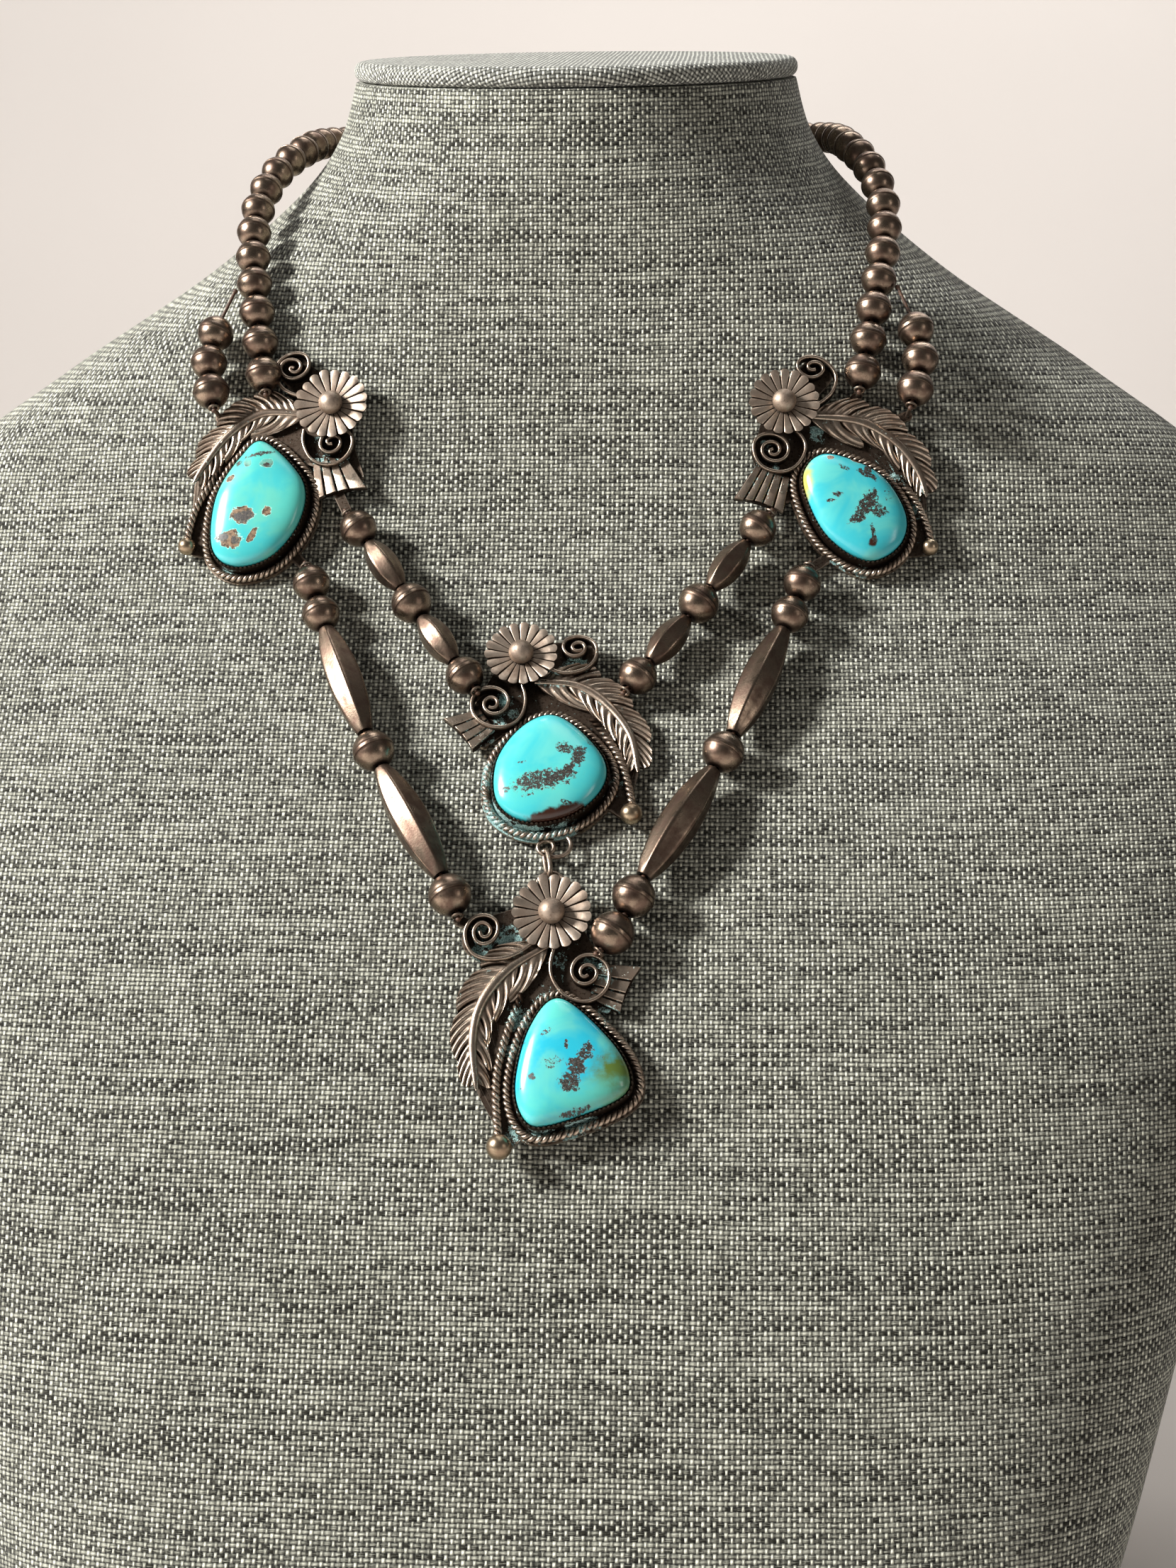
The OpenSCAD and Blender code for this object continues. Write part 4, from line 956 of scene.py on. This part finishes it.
def turquoise(k):
    """Polished turquoise with its clouds, its soft stains and its matrix."""
    material, g, shader = new_material(NAMES[k] + "_turquoise")
    place = g.put("ShaderNodeUVMap", uv_map="place").outputs[0]
    color = g.mix(g.step(g.noise(place, 0.11, 3.0, 0.55, 0.6), 0.4, 0.62), *STONE_TONES[k])
    pits, grain = None, g.noise(place, 1.1, 4.0, 0.7)
    patches = [(kind, *sizes) for kind, listed in STONE_PATCHES[k].items() for sizes in listed]
    for kind, u, v, ru, rv, turn, strength in patches:
        patch = g.group(PATCH, Place=place, Centre=(u, v, 0.0), Radii=(ru, rv, 1.0), Turn=math.radians(turn),
                        Soft=STONE_SOFT[kind])
        amount = g.times(patch["Amount"], strength)
        if kind == "matrix":
            pits = amount if pits is None else g.math("MAXIMUM", pits, amount)
        elif kind == "tan":
            ragged = g.add(amount, g.times(g.minus(grain, 0.5), 1.5))
            color = g.mix(g.step(ragged, 0.3, 0.42, 0.0, 0.8), color, (0.36, 0.66, 0.58))
            earth = g.mix(g.step(grain, 0.4, 0.62), STONE_COLORS["tan"], (0.06, 0.042, 0.032))
            color = g.mix(g.step(ragged, 0.5, 0.62), color, earth)
        else:
            color = g.mix(amount, color, STONE_COLORS[kind])
    specks = g.group(MATRIX, Place=place, Amount=pits)
    color = g.mix(specks["Grey"], color, g.mix(0.55, color, (0.09, 0.2, 0.17)))
    color = g.mix(specks["Dark"], color, specks["Tint"])
    g.feed(shader["Base Color"], color)
    g.feed(shader["Roughness"], g.blend(specks["Dark"], 0.23, 0.5))
    shader["IOR"].default_value = 1.55
    shader["Coat Weight"].default_value = 0.1
    shader["Coat Roughness"].default_value = 0.08
    height = g.minus(g.times(g.noise(place, 0.3), 0.8), specks["Dark"])
    g.feed(shader["Normal"], bump(g, height, strength=0.4, distance=0.0001))
    return material


# ---- Bust ----

def bust_ring(row, columns):
    """Evenly spaced ring of the bust at one row, and how far each point lies from the front's middle."""
    a = np.radians(np.linspace(-90, 270, 8 * columns + 1))
    power = 2 / row[5]
    s, c = np.sin(a), np.cos(a)
    depth = np.where(s < 0, row[3], row[4]) * np.sign(s) * np.abs(s) ** power
    x = row[2] * np.sign(c) * np.abs(c) ** power
    ring = np.c_[x, row[1] + depth, row[0] + depth * math.tan(math.radians(row[6]))]
    ring[[0, -1], 0] = 0
    length = distances(ring)[-1]
    share = np.linspace(0, 1, columns + 1)[:-1]
    across = share * length
    return along(ring, across), np.where(share > 0.5, across - length, across)


def build_bust():
    """Linen skin of the bust, from its flat base to the rounded rim of its neck."""
    columns, steps, neck_r = 180, 10, 49
    rings, places, height = [], [], 0.0
    for i in range((len(BUST_ROWS) - 1) * steps + 1):
        ring, across = bust_ring(bust_row(i / steps), columns)
        if rings:
            height += np.linalg.norm(ring[0] - rings[-1][0])
        rings.append(ring)
        places.append(level(across, height))
    rim = rings[-1]
    middle = rim.mean(0)
    for inset, rise in ((0.35, 0.1), (1.2, 0.15)):
        rings.append(middle + (rim - middle) * (1 - inset / neck_r) + [0, 0, rise])
        places.append(places[-1] + [0, 0.5])
    shape = Shape()
    add_skin(shape, rings)
    piece = make("linen_bust", shape, LINEN, ["bust"], sharp=60)
    set_map(piece, np.vstack(places))


def build_cap():
    """Linen-covered disc with a soft rolled rim, on the slope of the neck."""
    top = BUST_ROWS[-1]
    a = math.radians(top[6])
    turn = np.array([[1, 0, 0], [0, math.cos(a), math.sin(a)], [0, -math.sin(a), math.cos(a)]])
    roll, lift = CAP_T * 0.45, 0.3
    points, cloth_start = 144, [300, 0]
    bend = np.radians(np.linspace(0, 90, 7))
    profile = [(6, 0), (30, 0), (CAP_R - roll - 2, 0)]
    profile += [(CAP_R - roll + roll * math.sin(b), roll - roll * math.cos(b)) for b in bend]
    profile += [(CAP_R - roll + roll * math.cos(b), CAP_T - roll + roll * math.sin(b)) for b in bend]
    profile += [(r, CAP_T) for r in (44, 36, 26, 14, 4)]
    reach = distances(np.array(profile))
    reach = reach[-1] + profile[-1][0] - reach
    shape = Shape()
    add_skin(shape, [level(circle(r, points), h + lift) @ turn + [0, top[1], top[0]] for r, h in profile])
    piece = make("linen_cap", shape, LIT_CAP_LINEN, ["neck_cap"], sharp=60)
    set_map(piece, np.vstack([circle(way, points) + cloth_start for way in reach]))


# ---- Beads ----

def bead_place(path, middle, half):
    """Turn and middle of a bead whose holes lie on its thread, half on each side of its place."""
    low, high = along(path, middle - half), along(path, middle + half)
    way = unit(high - low)
    ry, rz = math.acos(way[2]), math.atan2(way[1], way[0])
    turn = Matrix.Rotation(rz, 3, "Z") @ Matrix.Rotation(ry, 3, "Y")
    return np.array(turn), (low + high) / 2


def round_bead(d):
    """Rings of a round bead, with collared holes and a soldered seam, and how hidden their points are."""
    r, points = d / 2, 40
    hole, lip = math.asin(BORE_R / r), 0.03
    collar, shaded, seam_half = 1.12, 0.98, 0.5
    wall = []
    for x in np.linspace(-np.pi / 2 + hole + lip, np.pi / 2 - hole - lip, 23):
        # Painted shade: the wall darkens towards the holes, where the next beads sit, and the bores are fully
        # dark; the seam's edges are dark joints.
        hidden = 0.85 if abs(x) > collar else 0.35 if abs(x) > shaded else 0.0
        wall.append((r * math.cos(x), r * math.sin(x), hidden))
    seam = [(r - 0.02, -0.36, 0.75), (r + 0.07, -0.3, 0.1), (r + 0.1, 0, 0.0), (r + 0.07, 0.3, 0.1),
            (r - 0.02, 0.36, 0.75)]
    bore = [(BORE_R, r * math.cos(hole) - 0.1, 1.0), (BORE_R, r * 0.35, 1.0)]
    rows = [(x, -z, hidden) for x, z, hidden in bore[::-1]]
    rows += [p for p in wall if p[1] < -seam_half] + seam + [p for p in wall if p[1] > seam_half] + bore
    rings = np.array([level(circle(x, points), z) for x, z, _ in rows])
    return rings, np.repeat([hidden for _, _, hidden in rows], points)


def spindle_bead(length, d):
    """Rings of a six-sided spindle with crisp ridges and round ends, and how hidden their points are."""
    end_d = 0.36 * d + 0.5
    sink = (d - end_d) / 2
    arc = ((length / 2) ** 2 + sink ** 2) / (2 * sink)
    half, end_length, bore_depth = length / 2 - 0.04, 2.2, 1.2
    points, side = 72, np.pi / 3
    a = np.linspace(0, 2 * np.pi, points, endpoint=False)
    from_middle = np.abs((a + side / 2) % side - side / 2)
    facet = 0.925 / np.cos(from_middle) - 0.018 * (from_middle > side / 2 - 0.02)
    bore = [level(circle(BORE_R, points), z) for z in (half - bore_depth, half)]
    rings, hidden = [ring * [1, 1, -1] for ring in bore], [np.ones(points)] * 2
    for z in np.linspace(-half, half, 37):
        r = math.sqrt(arc ** 2 - z ** 2) - arc + d / 2
        end = clamp((abs(z) - half + end_length) / end_length)
        rings.append(level(circle(r, points) * (facet * (1 - end) + end * 0.98)[:, None], z))
        # Painted reflection and shade: each facet darkens towards its middle so the ridges stay bright, and
        # the ends darken where the next beads sit.
        hidden.append(clamp(0.25 * (1 - from_middle / 0.5) ** 2 + 0.55 * end ** 2))
    return np.array(rings + bore[::-1]), np.ravel(hidden + [np.ones(points)] * 2)


def add_bead(shape, path, lengths, i, d):
    """Puts the bead of one place on its thread."""
    rings, hidden = round_bead(d) if lengths[i] == d else spindle_bead(lengths[i], d)
    turn, middle = bead_place(path, bead_middle(lengths, i), lengths[i] / 2 - 0.1)
    add_skin(shape, rings @ turn.T + middle, recess=hidden)


def build_beads():
    """Single beads of the strands, and the neck and shoulder beads as one piece a row."""
    for strand, (path, beads) in STRANDS.items():
        lengths = [length for length, _ in beads]
        for i, (length, d) in enumerate(beads):
            shape = Shape()
            add_bead(shape, path, lengths, i, d)
            kind = "round" if length == d else "spindle"
            name, node = f"{strand}_{kind}_{i + 1}", f"{strand}_bead_{i + 1}"
            make(name, shape, BEAD_SILVER, [node], sharp=50)
    for row, (path, lengths) in ROWS.items():
        shape = Shape()
        for i, d in enumerate(lengths):
            add_bead(shape, path, lengths, i, d)
        make(f"{row}_row", shape, BEAD_SILVER, [f"{row}_beads"], sharp=50)


# ---- Stations ----

def fine_outline(k):
    """Smooth outline of a stone."""
    return closed_spline(STONES[k], 14)


def build_stone(k):
    """Domed stone that rises out of its bezel."""
    outline = fine_outline(k)
    middle = np.array([closed_spline(STONES[k], 3).mean(0)])
    rings, places = [], []
    for t in np.r_[0, 0, np.linspace(0, 1, 22)[1:]]:
        ring = middle + (outline - middle) * math.cos(math.pi / 2 * min(t, 0.97)) ** (2 / 3)
        height = BEZEL_H + STONE_RISE * math.sin(math.pi / 2 * t)
        rings.append(level(ring, height if rings else PLATE_T + 0.2))
        places.append(ring)
    shape = Shape()
    add_skin(shape, rings)
    name = NAMES[k]
    piece = make(name + "_cabochon", shape, turquoise(k), [name + "_stone"], sharp=60,
                 station=STATIONS[k])
    set_map(piece, np.vstack(places))


def plate_outlines(k, eyes):
    """Outlines that the sheet behind a station covers."""
    small, large, flower = SMALL_SCROLLS[k], LARGE_SCROLLS[k], FLOWERS[k]
    ball, heart = STEMS[k][1], STONES[k][0]
    near_ball = STONES[k][{PENDANT: 3, CENTRE: 6, LEFT: 3, RIGHT: 5}[k]]
    stem, leaf, fan = STEMS[k][0], LEAVES[k][0], np.array(FANS[k][:4])
    fan_heart, fan_low = fan.mean(0), fan[1] * 0.45 + fan[3] * 0.55
    behind_flower = (*flower[:2], 3.7)
    outlines = [
        grown(fine_outline(k), ROPE_OUT + 0.95),
        discs((*small[:2], small[2] - 0.2), behind_flower),
        discs(behind_flower, large, (*heart, 1)),
        discs((*stem[-1], 0.8), (*ball, 1.2), (*near_ball, 1.6)),
        discs((*leaf[0], 1.4), (*leaf[1], 1.4), (*heart, 1)),
        discs(large, (*fan_heart, 1.5), (*fan_low, 0.9)),
    ]
    # The sheet also backs the leaf as far as the stem
    rib, edge = evenly(spline(leaf, 12), 13), evenly(spline(stem, 8), 13)
    outlines += [hull([rib[i], rib[i + 1], edge[i], edge[i + 1]]) for i in range(12)]
    outlines.append(discs((*leaf[1], 1), (*stem[0], 1), (*heart, 1)))
    return outlines + [discs((*at[:2], 1), (*root, 1.1)) for (at, _), root in zip(eyes, EYE_ROOTS[k])]


def build_plate(k):
    """Sheet behind a station, with the eyes for its threads and the rings for the link."""
    eyes = [(STATIONS[k].local(at), STATIONS[k].local(toward)) for at, toward in STATION_EYES[k]]
    shape = Shape()
    add_plate(shape, plate_outlines(k, eyes), 0, PLATE_T, k)
    for at, toward in eyes:
        # Eye rings and their posts are darkened with patina and painted shade.
        add_ring(shape, at, toward - at, EYE_R, EYE_WIRE, recess=0.5, points=20, sides=8)
        post = circle(EYE_POST_R, 10) + at[:2]
        add_skin(shape, [level(post, h) for h in (PLATE_T / 2, at[2] - 0.9)], recess=0.6)
    if k == PENDANT:
        add_ring(shape, (*PENDANT_LOOP[:2], 0.6), (0, 0, 1), PENDANT_LOOP[2], RING_WIRE)
    if k == CENTRE:
        add_ring(shape, (*CENTRE_LOOP[:2], 0.6), (0, 0, 1), CENTRE_LOOP[2], RING_WIRE)
        add_ring(shape, (*OPEN_LOOP[:2], 1.1), (0, 0.1, 1), OPEN_LOOP[2], OPEN_RING_WIRE, arc=0.5, turn=50)
    make_work(k, "plate", shape, sharp=38, bevel=0.1)


def build_bezel(k):
    """Saw-toothed bezel and the twisted rope round it."""
    outline = fine_outline(k)
    teeth = round(distances(np.vstack([outline, outline[:1]]))[-1] / TOOTH_PITCH)
    fine = evenly(outline, teeth * 4, closed=True)
    tooth = np.tile([0.0, 0.75, 1.0, 0.75], teeth)
    # Each row's distance from the stone, height, hidden and crusted, from the outer foot to the inner one.
    # Hidden paints shade with patina at the foot, between the teeth and against the stone
    rows = [
        (BEZEL_T + STONE_GAP, 0.5, 1.0, 1),
        (BEZEL_T + STONE_GAP, BEZEL_H - 0.9, 0.95, 0.8),
        (BEZEL_T * 0.9 + STONE_GAP, BEZEL_H - 0.45, 0.85 + 0.2 * (1 - tooth), 0.2),
        (STONE_GAP + 0.28 - 0.1 * tooth, BEZEL_H - 0.3 + TOOTH_H * tooth, 0.62 + 0.6 * (1 - tooth), 0),
        (STONE_GAP + 0.04, BEZEL_H - 0.42 + 0.45 * tooth, 0.85, 0),
        (STONE_GAP, 0.5, 1.0, 0),
    ]
    rings = np.stack([level(grown(fine, out), height) for out, height, _, _ in rows], 1)
    hidden = np.stack([np.broadcast_to(row[2], len(fine)) for row in rows], 1)
    shape = Shape()
    add_skin(shape, rings, True, clamp(hidden), crust_at(k, rings) * [row[3] for row in rows])
    make_work(k, "bezel", shape, sharp=30)
    rope = Shape()
    add_twisted(rope, level(grown(outline, ROPE_OUT), PLATE_T + ROPE_LIFT), ROPE_PITCH, k, closed=True)
    make_work(k, "rope", rope, sharp=80)


def build_flower(k):
    """Stamped petals with creases between them darkened by painted shade, round a button."""
    u, v, r = FLOWERS[k]
    first_seed, columns, rows = 11, 16, 12
    rng = np.random.default_rng(first_seed + k)
    a = np.arange(PETALS * columns) * 2 * np.pi / (PETALS * columns) + 0.03
    f = np.tile(np.arange(columns) / columns, PETALS)
    off = np.abs(2 * f - 1)
    own = np.repeat(rng.uniform(-1, 1, PETALS), columns)
    edge = r * (0.84 + 0.015 * own + 0.15 * np.sqrt(1 - 0.97 * off ** 2) - 0.06 * (off > 0.95))
    t = np.linspace(0, 1, rows)
    reach = 0.2 * r + (edge[:, None] - 0.2 * r) * t
    far = reach / r
    crease = clamp(off[:, None] - 0.78) / 0.22
    lift = FLOWER_H + 0.95 * far ** 1.8 + 0.12 * own[:, None] * far - 0.13 * (off[:, None] * far) ** 2
    lift -= 0.3 * crease ** 2 * clamp(far * 2.4 - 0.5) + clamp(t - 0.85)
    top = np.stack([u + reach * np.cos(a)[:, None], v + reach * np.sin(a)[:, None], lift], -1)
    # Painted shade: the creases, the petals' inner ends near the button and the post under them are darkened.
    hidden = clamp(crease ** 0.7 * 1.5 + clamp(0.82 - far) * 1.15)
    shape = Shape()
    add_slab(shape, top, top - [0, 0, PETAL_T], hidden, closed=True)
    post = circle(FLOWER_POST_R, 24) + [u, v]
    add_skin(shape, [level(post, h) for h in (PLATE_T / 2, FLOWER_H + 0.3)], recess=0.9)
    add_ball(shape, (u, v, FLOWER_H + 1), BUTTON_R, flat=0.92, recess=0.4)
    make_work(k, "flower", shape, sharp=55, material=LIT_PETAL_SILVER)


def scroll_path(points):
    """Even and slightly smoothed curve through a scroll's points."""
    path, smoothings = evenly(spline(points, 8), 150), 6
    for _ in range(smoothings):
        path[1:-1] = (path[:-2] + 2 * path[1:-1] + path[2:]) / 4
    return path


def build_scrolls(k):
    """Ribbon wire on its edge with a rounded rim, left bright, while painted shade and patina darken its
    sides towards the sheet.
    """
    w, h, c = SCROLL_T * 0.6, SCROLL_H, SCROLL_EDGE
    half = [(w - c, h), (w, h - c), (w, h * 0.5), (w, -0.1)]
    section = [(-x, y) for x, y in half[::-1]] + half
    # Painted shade and patina down the sides, darkest at the sheet; verdigris gathers low.
    hidden, crusted = [0.0, 0.4, 0.95, 1.0], [0, 0, 0.7, 1]
    shape = Shape()
    for wire in (SMALL_SCROLL_WIRES[k], LARGE_SCROLL_WIRES[k]):
        rings = sweep(level(scroll_path(wire), PLATE_T), section)
        add_skin(shape, rings, recess=np.tile(hidden[::-1] + hidden, len(rings)),
                 crust=crust_at(k, rings) * (crusted[::-1] + crusted))
    make_work(k, "scrolls", shape, sharp=60)


def build_fan(k):
    """Banner of bands that come from under the large scroll, each a small step below the last."""
    near_top, near_low, far_top, far_low = (np.array(c, float) for c in FANS[k][:4])
    lines = [0.0, *FANS[k][4], 1.0]
    t = np.linspace(0, 1, 10)
    gap, slope = 0.014, 0.02
    shape = Shape()
    for a, b in zip(lines[:-1], lines[1:]):
        strips, lifts = [], []
        for share, lift in ((a + gap, 0.0), (a + gap + slope, 0.12), (b - gap - slope, 0.2), (b - gap, 0.06)):
            start = near_top + (near_low - near_top) * share
            end = far_top + (far_low - far_top) * share
            end = end - (end - start) * 0.1 * math.sin(math.pi * share)
            strips.append(start + (end - start) * t[:, None])
            lifts.append(PLATE_T + 1.0 + lift - 0.35 * t + 0.3 * t ** 3)
        top = np.dstack([np.array(strips), np.array(lifts)])
        bottom = top * [1, 1, 0] + [0, 0, 0.3]
        # Painted shade: each band darkens at its edges and where it comes from under the scroll, and the bed
        # beneath is fully dark.
        hidden = np.array([0.9, 0.15, 0.0, 0.75])[:, None] + clamp(0.3 - t) * 3
        crusted = crust_at(k, top) + np.array([0.5, 0.1, 0, 0.5])[:, None] * (1 - 0.5 * t)
        add_slab(shape, top, bottom, clamp(hidden), clamp(crusted))
    bed = np.array([near_top, far_top * 0.93 + near_top * 0.07, far_low * 0.93 + near_low * 0.07, near_low])
    add_skin(shape, [level(bed, h) for h in (0.4, PLATE_T + 0.55)], recess=1.0)
    make_work(k, "fan", shape, sharp=30, bevel=0.05)


def add_vane(shape, rib, side, lobes, veins, root, tip, notch, crusted):
    """One side of a leaf: lobes of fine veins that curl towards the tip.

    root and tip are its widths there, and notch is how much of the width is left between two lobes.
    """
    base, groove, slit = PLATE_T + LEAF_LIFT, 0.42, 0.35
    q = np.linspace(0, 1, len(rib))
    way = unit(np.gradient(rib, axis=0))
    out = side * np.c_[-way[:, 1], way[:, 0]]
    t = np.linspace(0, 1, 13)
    f = (q * lobes) % 1.0
    scallop = notch + (1 - notch) * np.sin(np.pi * clamp(f * 0.97 + 0.03)) ** (0.55 if notch > 0.5 else 0.4)
    reach = (root + (tip - root) * q) * scallop * clamp(q * 9 + 0.6) * (1 - q ** 12)
    curl = 0.38 + 0.55 * t[None, :] + 0.5 * q[:, None] ** 2
    heading = unit((1 - 0.25 * t[None, :, None]) * out[:, None] + curl[..., None] * way[:, None])
    flat = rib[:, None] + heading * (reach[:, None] * t[None, :])[..., None]
    vein = (0.5 + 0.5 * np.cos(2 * np.pi * f * veins))[:, None]
    cut = clamp(1 - np.minimum(f, 1 - f) * 14)[:, None]
    depth = groove * vein ** 1.5 * clamp(t * 3 - 0.2) + slit * cut * clamp(t * 1.8 - 0.4)
    lift = base - LEAF_DROP * q[:, None] - 0.75 * t ** 1.4 + 0.28 * t ** 4 + 0.22 * f[:, None] * t - depth
    # Painted shade and patina in the vein grooves, in the slits between lobes and along the rib.
    hidden = clamp(vein ** 2 * 0.75 * clamp(t * 3) + cut + clamp(0.22 - t) * 4)
    crust = np.tile(clamp(0.2 - t) * crusted, (len(rib), 1))
    bottom = np.dstack([flat, np.minimum(lift - 0.3, PLATE_T * 0.9)])
    add_slab(shape, np.dstack([flat, lift]), bottom, hidden, crust)


def build_leaf(k):
    """Curled leaf with a broad smooth vane, a lobed one and a raised rib."""
    points, long_side = LEAVES[k]
    curve = spline(points, 24)
    # The vanes end just before the tip of the rib
    rib = evenly(curve, 150)[:143]
    shape = Shape()
    add_vane(shape, rib, long_side, lobes=4, veins=5, root=7.8, tip=5.4, notch=0.74, crusted=0)
    add_vane(shape, rib, -long_side, lobes=5, veins=3, root=10.2, tip=6.8, notch=0.08,
             crusted=LEAF_CRUSTS[k])
    q = np.linspace(0, 1, 60)
    spine = level(evenly(curve, 60), PLATE_T + LEAF_LIFT - 0.1 - LEAF_DROP * q)
    wide = np.interp(q, [0, 0.15, 0.4, 0.8, 0.96, 1], [0.5, 0.7, 0.92, 0.68, 0.5, 0.22])
    a = np.radians(np.linspace(0, 180, 9))
    section = np.vstack([np.c_[np.cos(a), np.sin(a) * 0.62], [-1, -0.6], [1, -0.6]])
    rings = sweep(spine, section[None] * np.stack([wide, np.minimum(wide, 0.85)], -1)[:, None])
    # Painted shade on the rib's lower sides and underside.
    hidden = np.r_[0.8, 0.25, np.zeros(5), 0.25, 0.8, 1, 1]
    crust = np.r_[0.4, np.zeros(7), 0.4, 0.4, 0.4]
    add_skin(shape, rings, recess=np.tile(hidden, len(rings)), crust=np.tile(crust, len(rings)))
    make_work(k, "leaf", shape, sharp=60)


def build_link():
    """Oval wire link from the centre's small ring to the ring behind the pendant's flower."""
    high = STATIONS[CENTRE].world((CENTRE_LOOP[0], CENTRE_LOOP[1] - CENTRE_LOOP[2] + 0.2, 0.9))
    low = STATIONS[PENDANT].world((PENDANT_LOOP[0] - 0.4, PENDANT_LOOP[1] + PENDANT_LOOP[2] - 0.2, 0.9))
    way = high - low
    half_length, half_width = np.linalg.norm(way) / 2 + 0.5, 1.05
    way = unit(way)
    out = np.array([0.42, -1, 0.0])
    out = unit(out - way * (out @ way))
    side = np.cross(way, out)
    t = np.linspace(0, 2 * np.pi, 40, endpoint=False)
    long, wide = np.cos(t)[:, None], np.sin(t)[:, None]
    end = np.sign(long)
    path = (high + low) / 2 + end * np.abs(long) ** 0.7 * half_length * way + wide * half_width * out
    normal = unit(long * way * 0.35 + wide * out + end * way * np.abs(long) ** 6)
    x, y = circle(LINK_WIRE, 10).T[..., None]
    shape = Shape()
    add_skin(shape, path[:, None] + normal[:, None] * x + side * y, True, 0.15)
    add_ball(shape, high + way * 0.4 - [0, 0.6, 0], 0.62)
    make("oval_link", shape, STATION_SILVER, ["pendant_link"], sharp=80)


def build_stem(k):
    """Twisted stem that ends in a ball."""
    points, ball, r = STEMS[k]
    path = spline(points + [ball], 10)[:-4]
    rope = Shape()
    add_twisted(rope, level(path, PLATE_T + STEM_LIFT), STEM_PITCH, k, shaded=STEM_SHADED)
    make_work(k, "stem", rope, sharp=80)
    knob = Shape()
    add_ball(knob, (*ball, r + 0.1), r, rings=16, points=28, recess=0.0)
    make_work(k, "ball", knob, sharp=80, material=BALL_SILVER)


build_bust()
build_cap()
build_beads()
for station in range(4):
    for build in (build_plate, build_bezel, build_stone, build_flower, build_scrolls, build_fan, build_leaf,
                  build_stem):
        build(station)
build_link()

# CAD nodes whose shape is right keep it, and get their finish here
THREAD = waxed_thread()
for node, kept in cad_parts.items():
    if "thread" in node or node == "clasp":
        kept.data.materials.clear()
        kept.data.materials.append(BEAD_SILVER if node == "clasp" else THREAD)


# ---- Floor, light and camera ----

def build_stage():
    """Pale floor that rises into a pale wall behind the bust."""
    material, g, shader = new_material("pale_wall")
    shade = g.noise(in_millimetres(g), 0.004)
    g.feed(shader["Base Color"], g.mix(shade, (0.64, 0.6, 0.57), (0.68, 0.64, 0.61)))
    shader["Roughness"].default_value = 0.95
    half_width, near, wall, top, bend_r = 2600, -2000, 1700, 2600, 300
    bend = np.radians(np.linspace(0, 90, 9))
    curve = [(wall - bend_r * (1 - math.sin(b)), bend_r * (1 - math.cos(b))) for b in bend]
    profile = [(near, 0), *curve, (wall, top)]
    points = [(x * MM, y * MM, z * MM) for y, z in profile for x in (-half_width, half_width)]
    faces = [[2 * i, 2 * i + 1, 2 * i + 3, 2 * i + 2] for i in range(len(profile) - 1)]
    mesh = bpy.data.meshes.new("backdrop")
    mesh.from_pydata(points, [], faces)
    mesh.shade_smooth()
    mesh.materials.append(material)
    backdrop = bpy.data.objects.new("backdrop", mesh)
    bpy.context.scene.collection.objects.link(backdrop)


def add_light(name, at, aim, size, power, color):
    """Rectangular lamp that faces a point."""
    light = bpy.data.lights.new(name, "AREA")
    light.shape = "RECTANGLE"
    light.size, light.size_y = size
    light.energy = power
    light.color = color
    lamp = bpy.data.objects.new(name, light)
    lamp.location = at
    lamp.rotation_euler = (Vector(aim) - Vector(at)).to_track_quat("-Z", "Y").to_euler()
    bpy.context.scene.collection.objects.link(lamp)


def build_lights():
    """Window from the upper left, soft light from above and from the right, and one for the wall."""
    necklace, wall = (0, 0, 0.19), (0.15, 1.7, 0.45)
    add_light("window", (-1.05, -0.42, 0.85), necklace, (0.24, 0.3), 46, (1.0, 0.98, 0.95))
    add_light("ceiling", (0.1, 0.05, 1.5), necklace, (0.7, 0.5), 2.0, (1.0, 0.99, 0.97))
    add_light("fill", (1.1, -0.9, 0.5), necklace, (0.2, 0.5), 1.4, (1.0, 0.93, 0.86))
    add_light("wall_light", (0.4, 0.9, 1.9), wall, (1.8, 0.4), 24, (1.0, 0.98, 0.96))
    world = bpy.data.worlds.new("room")
    world.use_nodes = True
    background = world.node_tree.nodes["Background"].inputs
    background["Color"].default_value = (0.85, 0.84, 0.8, 1)
    background["Strength"].default_value = 0.11
    bpy.context.scene.world = world


def build_camera():
    """Camera at the photograph's place; its focal length is given in the picture's own pixels."""
    focal_pixels, picture_height = 3324, 2212
    data = bpy.data.cameras.new("camera")
    data.sensor_fit = "VERTICAL"
    data.sensor_height = 36.0
    data.lens = data.sensor_height * focal_pixels / picture_height
    camera = bpy.data.objects.new("camera", data)
    camera.location = (0.031, -0.4662, 0.2022)
    camera.rotation_euler = (math.radians(85), 0, math.radians(3))
    bpy.context.scene.collection.objects.link(camera)
    bpy.context.scene.camera = camera


build_stage()
build_lights()
build_camera()
bpy.context.scene.view_settings.view_transform = "Standard"
